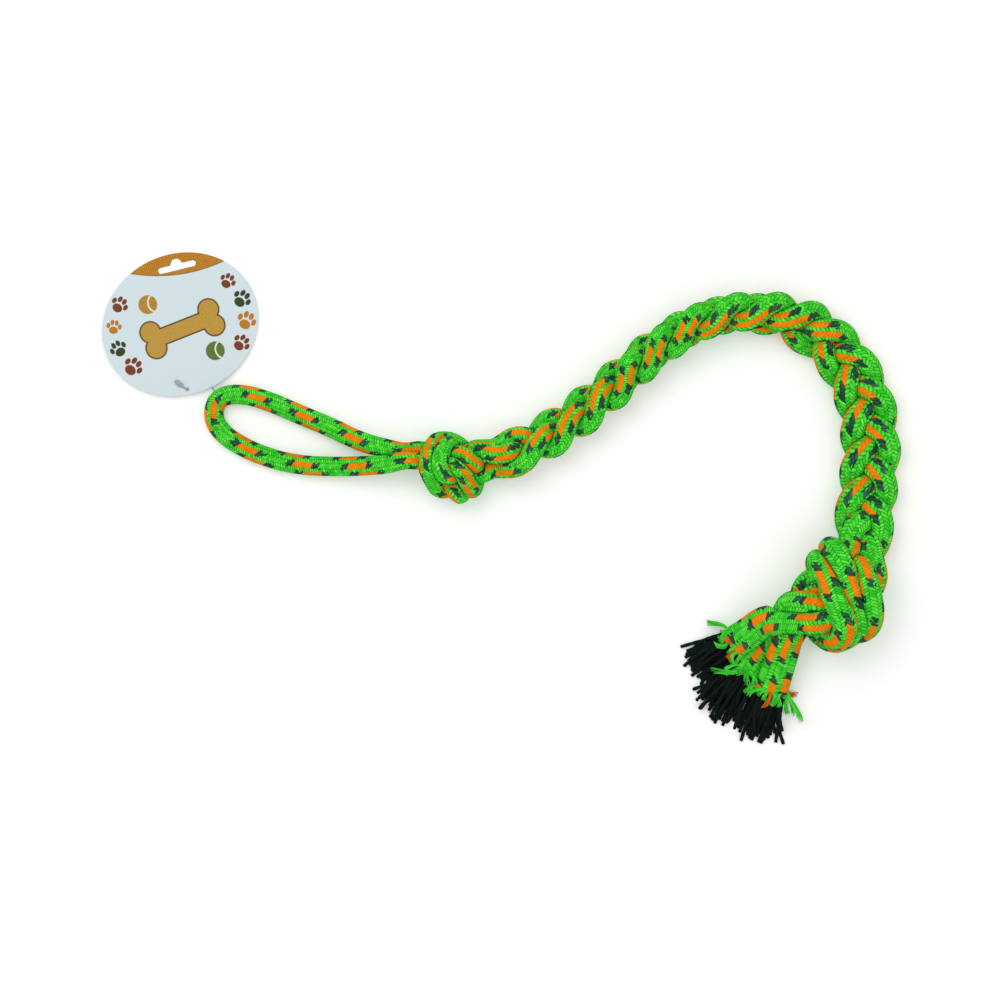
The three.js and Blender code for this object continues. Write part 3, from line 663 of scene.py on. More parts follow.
class Value:
    """An output in a material's node tree. Arithmetic on it adds the nodes that it takes."""

    def __init__(self, nodes, socket):
        self.nodes, self.socket = nodes, socket

    def adding(operation):
        return lambda self, *other: self.nodes.math(operation, self, *other)

    __add__, __sub__ = adding("ADD"), adding("SUBTRACT")
    __mul__, __truediv__ = adding("MULTIPLY"), adding("DIVIDE")
    __lt__, __gt__, __abs__ = adding("LESS_THAN"), adding("GREATER_THAN"), adding("ABSOLUTE")

    def __rsub__(self, other):
        return self.nodes.math("SUBTRACT", other, self)


class Nodes:
    """A short hand for building a material's node tree."""

    def __init__(self, name, **inputs):
        self.material = bpy.data.materials.new(name)
        self.material.use_nodes = True
        self.tree = self.material.node_tree
        self.shader = self.tree.nodes["Principled BSDF"]
        for key, value in {"Specular_IOR_Level": 0.12, **inputs}.items():
            self.put(self.shader.inputs[key.replace("_", " ")], value)

    def node(self, kind, **settings):
        made = self.tree.nodes.new(kind)
        for key, value in settings.items():
            setattr(made, key, value)
        return made

    def put(self, socket, value):
        if isinstance(value, Value):
            self.tree.links.new(value.socket, socket)
        else:
            socket.default_value = value

    def filled(self, made, values, output=0):
        """An output of a node whose inputs are given by number or name."""
        for key, value in values.items():
            self.put(made.inputs[key], value)
        return Value(self, made.outputs[output])

    def math(self, operation, *values, clamp=False):
        made = self.node("ShaderNodeMath", operation=operation, use_clamp=clamp)
        return self.filled(made, dict(enumerate(values)))

    def floor(self, value):
        return self.math("FLOOR", value)

    def blend(self, share, a, b, kind="MIX"):
        made = self.node("ShaderNodeMix", data_type="RGBA", blend_type=kind)
        return self.filled(made, {0: share, 6: a, 7: b}, 2)

    def noise(self, vector, scale, detail=2.0, rough=0.5):
        made = self.node("ShaderNodeTexNoise")
        return self.filled(made, {"Vector": vector, "Scale": scale, "Detail": detail, "Roughness": rough})

    def chance(self, number):
        """A value from 0 to 1 that a number draws by lot."""
        made = self.node("ShaderNodeTexWhiteNoise", noise_dimensions="1D")
        return self.filled(made, {"W": number}, "Value")

    def combine(self, x, y, z=0.0):
        return self.filled(self.node("ShaderNodeCombineXYZ"), {0: x, 1: y, 2: z})

    def map_range(self, value, a, b, c, d):
        return self.filled(self.node("ShaderNodeMapRange"), dict(enumerate((value, a, b, c, d))))

    def uv(self):
        """The place on a surface: the vector, and its two parts."""
        vector = Value(self, self.node("ShaderNodeUVMap", uv_map="Braid").outputs[0])
        split = self.node("ShaderNodeSeparateXYZ")
        return vector, self.filled(split, {0: vector}), Value(self, split.outputs[1])

    def place(self):
        return Value(self, self.node("ShaderNodeTexCoord").outputs["Object"])

    def bump(self, height, distance, strength=1.0):
        made = self.node("ShaderNodeBump")
        values = {"Distance": distance, "Strength": strength, "Height": height}
        self.put(self.shader.inputs["Normal"], self.filled(made, values))

    def colour(self, value):
        self.put(self.shader.inputs["Base Color"], value)


# The deep colours are painted shade for the grooves between the braid's ribs; the others are the yarns' own
# colours, some picked by lot for each rib.
GREEN_LIGHT = linear(104, 252, 72)
GREEN = linear(46, 214, 44)
GREEN_PAINTED_SHADE = linear(0, 116, 0)
ORANGE = linear(255, 142, 6)
ORANGE_PAINTED_SHADE = linear(205, 84, 2)
SLATE = linear(34, 72, 56)
SLATE_LIGHT = linear(66, 108, 86)
SLATE_PAINTED_SHADE = linear(4, 26, 18)


def sheath_material():
    """The braid: wide columns of ribs with a pattern of orange and slate, and narrow green ones
    between them. The ribs' ends of one column fit between those of the next, like teeth. Shade is
    painted into the grooves between the ribs."""
    n = Nodes("braided_sheath", Roughness=0.85)
    place = n.place()
    _, u, v = n.uv()
    wobble = n.noise(place, 500.0) - 0.5
    half = wobble * 0.09 + (u * 0.5 + (0.5 - WIDE_SHARE / 2))
    along = wobble * 0.6 + v
    pair = n.floor(half)
    centred = half - pair - 0.5
    beside = abs(centred)

    # ribs of the wide column, and the edge that their ends make
    wide_v = centred * (SLANT / WIDE_SHARE) + along
    wide_row = n.floor(wide_v)
    edge = abs(wide_v - wide_row - 0.5) * (-2 * TOOTH * WIDE_SHARE) + (1 + TOOTH) * WIDE_SHARE / 2
    wide = beside < edge

    # ribs of the narrow column, half a rib on from their neighbours at the edge
    from_narrow = 0.5 - beside
    narrow_side = n.math("SIGN", centred) * from_narrow
    narrow_v = narrow_side * ((SLANT / 2 - 0.5) / (0.5 - WIDE_SHARE / 2)) + along

    def chosen(of_wide, of_narrow):
        picked = n.node("ShaderNodeMix", data_type="FLOAT")
        return n.filled(picked, {0: wide, 2: of_narrow, 3: of_wide})

    v = chosen(wide_v, narrow_v)
    row = chosen(wide_row, n.floor(narrow_v))
    column = chosen(pair, n.floor(half + 0.5) + 40.5)
    across = chosen(beside / edge, from_narrow / (0.5 - edge))
    white = n.node("ShaderNodeTexWhiteNoise", noise_dimensions="2D")
    lots = n.node("ShaderNodeSeparateColor")
    n.filled(lots, {0: n.filled(white, {"Vector": n.combine(column, row)}, "Color")})
    lot_a, lot_b, lot_c = (Value(n, output) for output in lots.outputs[:3])

    # the pattern: orange dashes, each with a ragged slate mark at both ends
    phase = n.math("FLOORED_MODULO", pair * float(COLUMN_SHIFT) + row, float(PERIOD))
    orange = wide * (phase < ORANGE_RUN - 1e-4)
    after = phase - float(ORANGE_RUN)
    away = n.math("MINIMUM", (after < -0.5) * 99.0 + after, float(PERIOD - 1) - phase)
    near = away < (lot_b < SHORTER_SHARE) * -1.0 + (BLACK_RUN - 0.5)
    first = away < 0.5
    side = centred / (WIDE_SHARE / 2)
    inside = (side < lot_b * 0.9 + 0.5 + first) * (side > (lot_a * 0.9 + 0.5) * -1.0 - first)
    spread = (1.0 - wide) * (lot_c < SPREAD_SHARE) * (from_narrow > 0.07)
    slate = near * chosen(inside, spread)
    light = n.blend(orange, n.blend(lot_c, GREEN, GREEN_LIGHT), ORANGE)
    light = n.blend(slate, light, n.blend(lot_c, SLATE, SLATE_LIGHT))
    # painted shade: the colour of the grooves between the ribs, for each colour of the pattern
    deep = n.blend(slate, n.blend(orange, GREEN_PAINTED_SHADE, ORANGE_PAINTED_SHADE), SLATE_PAINTED_SHADE)

    # the form of a rib, with its fibres; where it is low, in the grooves between ribs and fibres and at the
    # rib ends, the colour takes painted shade, orange ribs less of it
    within = abs((v - row) * 2.0 + -1.0)
    arch = 1.0 - n.math("POWER", within, 2.6)
    ends = 1.0 - n.math("POWER", across, 5.0)
    height = (arch * 0.8 + 0.2) * (ends * 0.75 + 0.25)
    fibres = n.noise(n.combine(centred * 5.0, v * 4.5, column), 1.0, detail=3.0, rough=0.65)
    fuzz = n.noise(place, 1700.0, detail=3.0, rough=0.7)
    unshaded_share = n.map_range(height + (fibres * 0.7 + fuzz * 0.6), 0.86, 1.42, 0.0, 1.0)
    unshaded_share = n.math("MAXIMUM", unshaded_share, orange * 0.55)
    patches = n.map_range(n.noise(place, 160.0), 0.3, 0.7, 0.84, 1.1)
    grain = n.map_range(fuzz, 0.3, 0.7, 0.8, 1.12) * patches
    # the rib's own colour, darkened with painted shade where its form is low
    colour = n.blend(unshaded_share, deep, light)
    n.colour(n.blend(1.0, colour, n.combine(grain, grain, grain), "MULTIPLY"))
    n.bump(fibres * 0.35 + (fuzz * 0.35 + height), 0.3 * MM, 0.8)
    return n.material


def yarn_material(name, light, deep):
    """A twisted yarn of fine fibres, with painted shade in the grooves between its plies."""
    n = Nodes(name, Roughness=0.9)
    _, u, v = n.uv()
    # painted shade: the yarn takes its dark colour in the grooves between the plies; the mottle is random
    # tone
    strand = abs(n.math("SINE", (u + v) * (3 * math.pi)))
    fuzz = n.noise(n.place(), 1400.0, detail=3.0, rough=0.65)
    tone = n.math("MULTIPLY", strand, n.map_range(fuzz, 0.25, 0.75, 0.4, 1.2), clamp=True)
    n.colour(n.blend(tone, deep, light))
    n.bump(strand + fuzz, 0.3 * MM, 0.7)
    return n.material


def fibre_material(name, light, deep):
    """Loose fibres, each a little lighter or darker than the next."""
    n = Nodes(name, Roughness=0.8)
    lot = n.chance(n.floor(n.uv()[1]))
    place = n.place()
    mottle = n.map_range(n.noise(place, 700.0), 0.3, 0.7, 0.6, 1.2)
    n.colour(n.blend(n.math("MULTIPLY", lot, mottle, clamp=True), deep, light))
    n.bump(n.noise(place, 3000.0), 0.1 * MM, 0.5)
    return n.material


SHEATH = sheath_material()
# the core yarn's second colour is the painted shade between its plies
CORE_YARN = yarn_material("core_yarn", linear(24, 38, 34), linear(0, 3, 2))
CORE_FIBRE = fibre_material("core_fibre", linear(30, 46, 42), linear(2, 6, 5))
GREEN_FIBRE = fibre_material("green_fibre", linear(110, 255, 90), linear(30, 196, 34))
ORANGE_FIBRE = fibre_material("orange_fibre", linear(252, 140, 30), linear(200, 84, 10))


# ---- the ropes' pieces ----


def bend_at(piece, ring):
    """The piece's placing is baked into its mesh; it does not bend.
    The ring is not used."""
    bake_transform(piece)


def make_rope_pieces(k):
    rope = ROPE_OF[k]
    rim, tails, end_plait, handle_plait, handle_loop = marks[k]
    middle = (end_plait + handle_plait) // 2
    tail = rope_piece(f"tail_rope_{k}", rope, rim, tails, rim=True)
    end_knot = rope_piece(f"end_knot_turns_{k}", rope, tails, end_plait)
    lower = rope_piece(f"plait_rope_{k}_end", rope, end_plait, middle)
    upper = rope_piece(f"plait_rope_{k}_handle", rope, middle, handle_plait)
    handle = rope_piece(f"handle_knot_turns_{k}", rope, handle_plait, handle_loop, sealed=k == 3)
    bend_at(tail, rope.line[rim])
    bend_at(lower, rope.line[middle])
    bend_at(upper, rope.line[middle])
    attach(end_knot, "end_knot")
    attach(handle, "handle_knot")
    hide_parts(f"tail_sheath_{k}")
    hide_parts(f"end_knot_rope_{k}")
    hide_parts(f"plait_strand_{k}")
    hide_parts(f"handle_knot_rope_{k}")


def make_loop():
    first, last = marks[1][4], marks[2][4]
    line = long_rope.line[first : last + 1]
    piece = rope_piece("hand_loop_rope", long_rope, first, last)
    bend_at(piece, long_rope.line[(first + last) // 2])
    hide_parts("hand_loop")
    route = [at_home(point) for point in LOOP_ROUTE]
    if np.linalg.norm(route[0] - line[0]) > np.linalg.norm(route[-1] - line[0]):
        route.reverse()


# ---- the cut ends ----

YARNS = 72
YARN = 2.9 * MM
YARN_LENGTH = 43 * MM
YARN_ROOT = 9 * MM  # how deep in the sheath a yarn starts
CORE_FIBRES = 320
FRAY_TUFTS = 22
LONG_TUFTS = {3: (  # on a tail: heading and length
    ((0.25, -0.95, 0.1), 21 * MM), ((0.42, -0.9, 0.1), 24 * MM), ((0.0, -1.0, 0.2), 18 * MM),
)}
FRAY_FIBRES = 34


def swept(name, paths, radii, sides, material):
    """A piece of tubes along many paths of equal length, none of it below the floor."""
    points, faces, uvs = [], [], []
    rings = len(paths[0])
    share = np.tile(np.arange(sides) / sides, rings - 1)
    low = np.repeat(np.arange(rings - 1) * 0.25, sides)
    for n, (path, radius) in enumerate(zip(paths, radii)):
        tangent = unit(np.gradient(path, axis=0))
        side = unit(np.cross(tangent, [0.31, 0.17, 0.93]))
        ring = round_about(side, np.cross(tangent, side), sides)
        points.append((path[:, None] + ring * radius[:, None, None]).reshape(-1, 3))
        faces.append(tube_faces(rings, sides) + n * rings * sides)
        uvs.append(tube_uvs(share, 1 / sides, low, low + 0.25) + np.array([n, 0.0]))
    points = np.concatenate(points)
    points[:, 2] = np.maximum(points[:, 2], 0)
    return new_object(name, points, np.concatenate(faces), np.concatenate(uvs), material)


def packed(n, count):
    """The direction and the distance of the n-th of many places spread evenly in a circle."""
    return n * math.pi * (3 - math.sqrt(5)), math.sqrt((n + 0.5) / count)


def tail_rim(k):
    """Where a tail's sheath ends: its rope, the ring, the place and the direction outwards."""
    rope, rim = ROPE_OF[k], marks[k][0]
    return rope, rim, rope.line[rim], rope.tangent[rim] * (1 if k == 2 else -1)


def stray(random, start, direction, length, count, curl, sag, floor):
    """A fibre's path: it leaves along a direction, curls at random and sags to the floor."""
    steps = np.linspace(0, 1, count)[:, None]
    swing = random.normal(size=3) * curl
    second = random.normal(size=3) * curl * 0.5
    path = start + direction * length * steps + (swing * steps**2 + second * np.sin(steps * math.pi)) * length
    path[:, 2] -= sag * length * steps[:, 0] ** 2
    path[:, 2] = np.maximum(path[:, 2], floor)
    return path


def core_brush(k):
    """The core's yarns, cut ragged and spread out of the sheath."""
    random = np.random.default_rng(40 + k)
    rope, rim, place, out = tail_rim(k)
    across = unit(np.cross(out, [0, 0, 1]))
    up = np.cross(across, out)
    width, height = (size / 2 - WALL for size in TAIL_RIM)
    root = rope.line[rim + int(YARN_ROOT / rope.step) * (-1 if k == 2 else 1)]

    def within(angle, inset):
        """A place on the edge of the sheath's opening, from its middle."""
        aside, upward = math.cos(angle) * (width - inset), math.sin(angle) * (height - inset)
        return aside * across + upward * up

    paths, radii = [], []
    for n in range(YARNS):
        angle, spread = packed(n, YARNS)
        radial = within(angle + k, YARN / 2)
        length = YARN_LENGTH * random.uniform(0.78, 1.02) * (1.04 - 0.14 * spread)
        begin = root + radial * spread * 0.85
        rim_point = place + radial * spread
        rim_point[2] = max(rim_point[2], YARN / 2)
        lean = radial / width * spread * random.uniform(0.05, 0.38)
        direction = unit(out + lean + random.normal(size=3) * 0.05)
        outer = stray(random, rim_point, direction, length, 22, 0.1, 0.2, YARN * 0.48)
        onward = unit(outer[-1] - outer[-2])
        tip = [outer[-1] + onward * YARN * share for share in (0.12, 0.2)]
        path = np.vstack([begin, (begin + rim_point) / 2, outer, tip])
        thick = np.full(len(path), YARN / 2) * (1 + 0.07 * np.sin(np.arange(len(path)) * 1.7 + n))
        thick[-3:] *= [0.97, 0.72, 0.1]
        paths.append(path)
        radii.append(thick)
    yarns = swept(f"core_yarns_{k}", paths, radii, 9, CORE_YARN)
    paths, radii = [], []
    for n in range(CORE_FIBRES):
        spread = math.sqrt(random.uniform(0, 1))
        radial = within(random.uniform(0, 2 * math.pi), 0)
        start = place + radial * spread + out * random.uniform(0, 0.85) * YARN_LENGTH
        start[2] = max(start[2], 0.4 * MM)
        onward = out * random.uniform(0.5, 1.4)
        lean = radial / width * spread * random.uniform(0.1, 0.8)
        direction = unit(onward + lean + random.normal(size=3) * 0.3)
        length = YARN_LENGTH * random.uniform(0.06, 0.16)
        paths.append(stray(random, start, direction, length, 7, 0.3, 0.3, 0.25 * MM))
        radii.append(np.linspace(0.3, 0.14, 7) * MM * random.uniform(0.7, 1.2))
    fibres = swept(f"core_fibres_{k}", paths, radii, 3, CORE_FIBRE)
    for piece in (yarns, fibres):
        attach(piece, f"tail_{k}")
    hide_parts(f"tail_core_{k}")


def tufts_of(k, random):
    """The colour, heading and middle line of each cut yarn that curls out round a tail's rim."""
    rope, rim, place, out = tail_rim(k)

    def root(index):
        away = rope.reach[rim, index] - WALL / 2
        return place + rope.out[rim, index] * away - out * 1.5 * MM

    tufts = []
    for n in range(FRAY_TUFTS):
        index = int(round(n * SIDES / FRAY_TUFTS + random.uniform(-1.2, 1.2))) % SIDES
        colour = "orange" if random.uniform() < 0.05 else "green"
        length = random.uniform(7, 12.5) * MM
        onward = out * random.uniform(0.5, 1.1)
        aside = rope.out[rim, index] * random.uniform(0.5, 1.0)
        heading = unit(onward + aside + random.normal(size=3) * 0.25)
        tufts.append((colour, heading, stray(random, root(index), heading, length, 12, 0.3, 0.35, 1.4 * MM)))
    rightmost = int(np.argmax(rope.out[rim] @ unit(np.array([1.0, 0.2, 0.15]))))
    for heading, length in LONG_TUFTS.get(k, ()):
        heading = unit(np.array(heading))
        middle = stray(random, root(rightmost), heading, length, 12, 0.12, 0.3, 1.4 * MM)
        tufts.append(("green", heading, middle))
    return tufts


def sheath_fray(k):
    """Cut yarns of the sheath, curled out round its rim, each opened like a small brush."""
    random = np.random.default_rng(80 + k)
    sets = {"green": ([], [], GREEN_FIBRE), "orange": ([], [], ORANGE_FIBRE)}
    open_ = np.linspace(0, 1, 12)[:, None]
    for colour, heading, middle in tufts_of(k, random):
        across = unit(np.cross(heading, random.normal(size=3)))
        upward = np.cross(heading, across)
        for m in range(FRAY_FIBRES):
            angle, spread = packed(m, FRAY_FIBRES)
            aside = (math.cos(angle) * across + math.sin(angle) * upward) * spread
            wave = np.sin(open_ * random.uniform(6, 10) + random.uniform(0, 6)) * 0.25 * MM
            path = middle + aside * (1.1 + 1.9 * open_**2.2) * MM + across * wave
            last = int(random.integers(9, 13))
            path = resampled(path, np.arange(12), np.linspace(0, last - 1, 12))
            path[:, 2] = np.maximum(path[:, 2], 0.35 * MM)
            sets[colour][0].append(path)
            sets[colour][1].append(np.linspace(0.42, 0.26, 12) * MM * random.uniform(0.8, 1.15))
    for colour, (paths, radii, material) in sets.items():
        if paths:
            piece = swept(f"sheath_fray_{k}_{colour}", paths, radii, 4, material)
            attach(piece, f"tail_{k}")


for k in (1, 2, 3):
    make_rope_pieces(k)
make_loop()
for k in (1, 2, 3):
    core_brush(k)
    sheath_fray(k)


# ---- hang tag and its pin ----

CARD = (128 * MM, 113 * MM, 0.5 * MM)
CARD_EDGE = 0.06 * MM  # rounding of its edges
CARD_PLACE = (-256.8, 140.8)
CARD_TURN = math.radians(25.6)
CARD_DROOP = math.radians(2.16)
PRINT_TURN = math.radians(12.5)
BONE = 1.25  # scale of the printed bone
PRINTS = 16  # sectors of the card's rim, those at its sides with a paw print each
SLOT = (31 * MM, 4.8 * MM, 4.4 * MM)  # length, width, rise of the hump
SLOT_PLACE = (-259.6, 186.8)
SLOT_TURN = math.radians(13.7)
PIN_HOLE = (-251, 88.2, 4.5)
PIN_HOLE_ROUND = 3.6 * MM
THREAD = 1.1 * MM
PADDLE = (8 * MM, 4.4 * MM, 0.9 * MM)
PADDLE_FORM = (0.75, 0.75, 0.6)  # powers that square off an oval
PIN_ROUTE = (
    (-227.7, 85.4, 5.8), (-229.2, 87.3, 4.9), (-230.9, 89.5, 3.6), (-233.5, 91.7, 2.9), (-237, 93, 2.6),
    (-243, 91.6, 2.3), (-248.5, 89.3, 2.4), (-250.9, 88.3, 3.6), (-251.2, 88.3, 5.2), (-252.8, 89.5, 6),
    (-257.5, 93, 5.7),
)


def turned(x, y, angle):
    return x * math.cos(angle) - y * math.sin(angle), x * math.sin(angle) + y * math.cos(angle)


def in_card(place):
    """A place on the floor, in the card's own directions from its middle."""
    return turned((place[0] - CARD_PLACE[0]) * MM, (place[1] - CARD_PLACE[1]) * MM, -CARD_TURN)


def arc(x, y, radius, start, end, count):
    angles = np.linspace(start, end, count)
    return [(x + radius * math.cos(a), y + radius * math.sin(a)) for a in angles]


def card_outlines():
    a, b = CARD[0] / 2, CARD[1] / 2
    edge = [(a * math.cos(t), b * math.sin(t)) for t in np.linspace(0, 2 * math.pi, 240, endpoint=False)]
    length, width, rise = SLOT
    half, corner = (length - width) / 2, width / 2
    slot = arc(half, 0, corner, -math.pi / 2, math.pi / 2, 14)
    slot += arc(rise * 1.25, corner + 0.25 * rise, 0.25 * rise, -math.pi / 2, -math.pi * 0.93, 6)
    slot += arc(0, corner, rise, math.radians(17), math.radians(163), 22)
    slot += arc(-rise * 1.25, corner + 0.25 * rise, 0.25 * rise, -math.pi * 0.07, -math.pi / 2, 6)
    slot += arc(-half, 0, corner, math.pi / 2, 3 * math.pi / 2, 14)
    middle = in_card(SLOT_PLACE)
    slot = [tuple(np.add(turned(x, y, SLOT_TURN - CARD_TURN), middle)) for x, y in slot]
    hole_x, hole_y = in_card(PIN_HOLE)
    hole = arc(hole_x, hole_y, PIN_HOLE_ROUND / 2, 0, 2 * math.pi, 33)[:-1]
    return edge, slot, hole


def card_material():
    """Coated card, printed: an ochre top, paw prints down both sides and a bone between balls."""
    n = Nodes("printed_card", Roughness=0.45, Coat_Weight=0.08, Coat_Roughness=0.25)
    uv, x, y = n.uv()  # millimetres along and up the print

    def fade(value, start, end, most=1.0):
        return n.map_range(value, start, end, 0.0, most)

    def oval(px, py, cx, cy, rx, ry):
        dx, dy = (px - cx) / rx, (py - cy) / ry
        return fade(dx * dx + dy * dy, 1.08, 0.92)

    def either(first, *others):
        for share in others:
            first = n.math("MAXIMUM", first, share)
        return first

    def rotated(px, py, angle):
        cos, sin = n.math("COSINE", angle), n.math("SINE", angle)
        return px * cos + py * sin, py * cos - px * sin

    paper = fade(n.noise(uv, 0.9, detail=4.0), 0.3, 0.7)
    tone = n.blend(paper, linear(205, 220, 224), linear(213, 228, 232))

    # paw prints round the rim, one to a sector, on the left and the right only
    sector = 2 * math.pi / PRINTS
    index = n.floor(n.math("ARCTAN2", y / 56.0, x / 63.0) / sector)
    middle = (index + 0.5) * sector
    cos, sin = n.math("COSINE", middle), n.math("SINE", middle)
    px, py = rotated(x - cos * 53.5, y - sin * 46.0, n.chance(index + 40.0) * 2.4 + -1.2)
    size = n.chance(index + 77.5) * 0.3 + 1.02
    px, py = px / size, py / size
    toes = ((-4.5, 0.9, 2.1), (-1.7, 3.7, 2.2), (1.7, 3.7, 2.2), (4.5, 0.9, 2.1))
    paw = either(
        oval(px, py, 0.0, -2.3, 3.5, 2.9), *(oval(px, py, cx, cy, 1.5, ry) for cx, cy, ry in toes),
    )
    ramp = n.node("ShaderNodeValToRGB")
    ramp.color_ramp.interpolation = "CONSTANT"
    inks = ((96, 46, 6), (186, 118, 6), (46, 60, 12), (84, 120, 104), (120, 52, 14))
    while len(ramp.color_ramp.elements) < len(inks):
        ramp.color_ramp.elements.new(0.5)
    for i, (element, colour) in enumerate(zip(ramp.color_ramp.elements, inks)):
        element.position = i / len(inks)
        element.color = linear(*colour)
    ink = n.filled(ramp, {0: n.math("FRACT", (index + 20.0) * 0.38)})
    tone = n.blend(paw * (abs(cos) > 0.62), tone, ink)

    # a bone between two balls
    fur = fade(n.noise(uv, 1.6, detail=5.0, rough=0.7), 0.35, 0.65)
    bx, by = rotated(x - 1.0, y + 4.0, 0.16)
    bx, by = bx / BONE, by / BONE
    furred = n.blend(fur, linear(150, 96, 0), linear(216, 180, 78))
    knobs = [(x_sign * 20.0, y_sign * 5.4) for x_sign in (-1, 1) for y_sign in (-1, 1)]
    for rim, fill in (1.0, linear(84, 56, 0)), (0.0, furred):
        shaft = fade(abs(bx), 19.2, 18.8) * fade(abs(by), 5.1 + rim, 4.7 + rim)
        ends = (oval(bx, by, cx, cy, 6.2 + rim, 6.4 + rim) for cx, cy in knobs)
        tone = n.blend(either(shaft, *ends), tone, fill)
    for cx, cy, light, dark in (
        (-22.0, 21.0, linear(206, 166, 60), linear(130, 76, 0)),
        (23.0, -27.0, linear(112, 146, 62), linear(40, 70, 6)),
    ):
        ball = oval(x, y, cx, cy, 7.6, 7.6)
        seam = oval(x, y, cx + 8.0, cy, 8.4, 8.4) - oval(x, y, cx + 8.0, cy, 7.2, 7.2)
        tone = n.blend(ball, tone, n.blend(fur, dark, light))
        tone = n.blend(ball * seam, tone, linear(236, 232, 214))

    # the ochre top above a shallow arc, with pale dots and a line along the arc
    dots = n.node("ShaderNodeTexVoronoi", feature="F1")
    dot = n.filled(dots, {"Vector": uv, "Scale": 0.62, "Randomness": 0.25}, "Distance")
    ochre = n.blend(fade(dot, 0.34, 0.24, 0.65), linear(176, 112, 0), linear(222, 172, 34))
    aside = x - 17.5
    over = y - (aside * aside * 0.0041 + 39.1)
    tone = n.blend(fade(over, -0.15, 0.15), tone, ochre)
    n.colour(n.blend(fade(abs(over), 0.55, 0.35, 0.8), tone, linear(126, 84, 6)))
    n.bump(n.noise(uv, 3.0, detail=3.0), 0.03 * MM, 0.35)
    return n.material


def plain_card_material():
    """The bare back and the cut edge of the card."""
    n = Nodes("card_back", Roughness=0.7)
    fibres = n.noise(n.place(), 1800.0, detail=4.0)
    n.colour(n.blend(fibres, linear(176, 190, 192), linear(206, 216, 218)))
    n.bump(fibres, 0.05 * MM, 0.4)
    return n.material


def nylon_material():
    """Clear nylon that has gone a little milky."""
    n = Nodes("nylon", Roughness=0.32, Transmission_Weight=0.3, Specular_IOR_Level=0.5, IOR=1.45)
    milky = n.noise(n.place(), 500.0, detail=3.0)
    n.colour(n.blend(milky, linear(140, 148, 148), linear(196, 204, 204)))
    n.bump(milky, 0.05 * MM, 0.3)
    return n.material


def make_card():
    curve = bpy.data.curves.new("card_outline", "CURVE")
    curve.dimensions = "2D"
    curve.fill_mode = "BOTH"
    curve.extrude = CARD[2] / 2 - CARD_EDGE
    curve.bevel_depth = CARD_EDGE
    curve.bevel_resolution = 1
    curve.offset = -CARD_EDGE
    for outline in card_outlines():
        spline = curve.splines.new("POLY")
        spline.points.add(len(outline) - 1)
        corners = np.array([(x, y, 0, 1) for x, y in outline], np.float32)
        spline.points.foreach_set("co", corners.ravel())
        spline.use_cyclic_u = True
    holder = add("card_outline", curve)
    bpy.context.view_layer.update()
    flat = bpy.data.meshes.new_from_object(holder.evaluated_get(bpy.context.evaluated_depsgraph_get()))
    bpy.data.objects.remove(holder)
    bpy.data.curves.remove(curve)
    corners = np.array([v.co for v in flat.vertices])
    x, y = turned(corners[:, 0], corners[:, 1], CARD_TURN)
    x, y = x + (CARD_PLACE[0] - PIN_HOLE[0]) * MM, y + (CARD_PLACE[1] - PIN_HOLE[1]) * MM
    y, z = turned(y, corners[:, 2], -CARD_DROOP)
    placed = np.stack([x, y, z], axis=1) + at_home(PIN_HOLE)
    mesh = bpy.data.meshes.new("hang_tag_card")
    mesh.from_pydata([tuple(p) for p in placed], [], [tuple(p.vertices) for p in flat.polygons])
    layer = mesh.uv_layers.new(name="Braid")
    print_x, print_y = turned(corners[:, 0], corners[:, 1], CARD_TURN - PRINT_TURN)
    for corner in mesh.loops:
        v = corner.vertex_index
        layer.data[corner.index].uv = (print_x[v] / MM, print_y[v] / MM)
    mesh.materials.append(card_material())
    mesh.materials.append(plain_card_material())
    mesh.polygons.foreach_set("material_index", [int(p.normal.z <= 0.9) for p in flat.polygons])
    card = add("hang_tag_card", mesh)
    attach(card, "hang_tag")
    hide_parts("hang_tag")


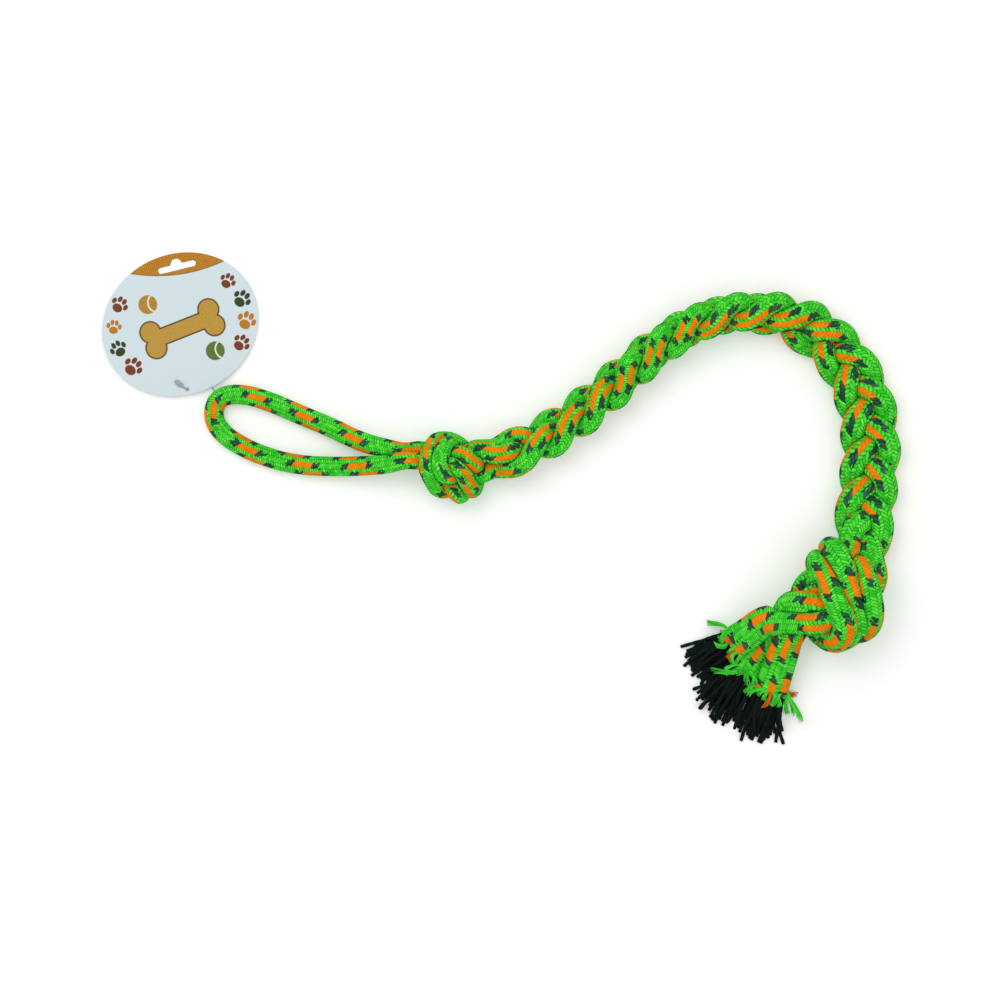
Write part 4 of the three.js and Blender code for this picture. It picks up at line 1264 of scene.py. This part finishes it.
def make_pin():
    nylon = nylon_material()
    path = evenly(curve_through([at_home(p) for p in PIN_ROUTE]), 0.35 * MM)
    thread = swept("pin_thread", [path], [np.full(len(path), THREAD / 2)], 12, nylon)
    end = path[-1]
    heading = unit(end - path[-14])
    across = unit(np.cross([0, 0, 1], heading))
    axes = np.array([heading, across, np.cross(heading, across)])
    rings, sides = 26, 40
    polar = np.repeat(math.pi * np.arange(rings + 1) / rings, sides)
    turn = np.tile(2 * math.pi * np.arange(sides) / sides, rings + 1)
    form = np.stack([np.cos(turn) * np.sin(polar), np.sin(turn) * np.sin(polar), np.cos(polar)], axis=1)
    form = np.sign(form) * np.abs(form) ** PADDLE_FORM * np.array(PADDLE) / 2
    no_uvs = np.zeros((rings * sides, 4, 2))
    paddle = new_object("pin_paddle", end + form @ axes, tube_faces(rings + 1, sides), no_uvs, nylon)
    for made in (thread, paddle):
        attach(made, "tag_pin")
    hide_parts("tag_pin")


make_card()
make_pin()


# ---- floor, light and camera ----


def stage():
    floor = new_object("floor", [(-3, -3, 0), (3, -3, 0), (3, 3, 0), (-3, 3, 0)], [(0, 1, 2, 3)])
    n = Nodes("white_floor", Roughness=0.9, Emission_Color=(1, 1, 1, 1))
    n.colour(linear(246, 246, 246))
    seen = n.filled(n.node("ShaderNodeLightPath"), {}, "Is Camera Ray")
    n.put(n.shader.inputs["Emission Strength"], seen * FLOOR_GLOW)
    floor.data.materials.append(n.material)
    scene = bpy.context.scene
    scene.world = scene.world or bpy.data.worlds.new("World")
    scene.world.use_nodes = True
    sky = scene.world.node_tree.nodes["Background"].inputs
    sky["Color"].default_value = (1, 1, 1, 1)
    sky["Strength"].default_value = SKY
    for name, place, size, power in (
        ("key", (-0.5, 0.7, 1.7), 1.2, 11.0),
        ("fill", (0.8, -0.5, 1.8), 1.6, 5.0),
    ):
        light = bpy.data.lights.new(name, "AREA")
        light.size = size
        light.energy = power
        lamp = add(name, light)
        lamp.location = place
        lamp.rotation_euler = (-Vector(place)).to_track_quat("-Z", "Y").to_euler()
    camera = add("camera", bpy.data.cameras.new("camera"))
    camera.data.sensor_width = SENSOR
    camera.data.lens = SENSOR * (CAMERA_HEIGHT - MID_HEIGHT) / (PICTURE * PIXEL)
    camera.location = (HOME[0], HOME[1] - 0.5 * PIXEL, CAMERA_HEIGHT)
    scene.camera = camera
    scene.view_settings.view_transform = "Standard"


stage()
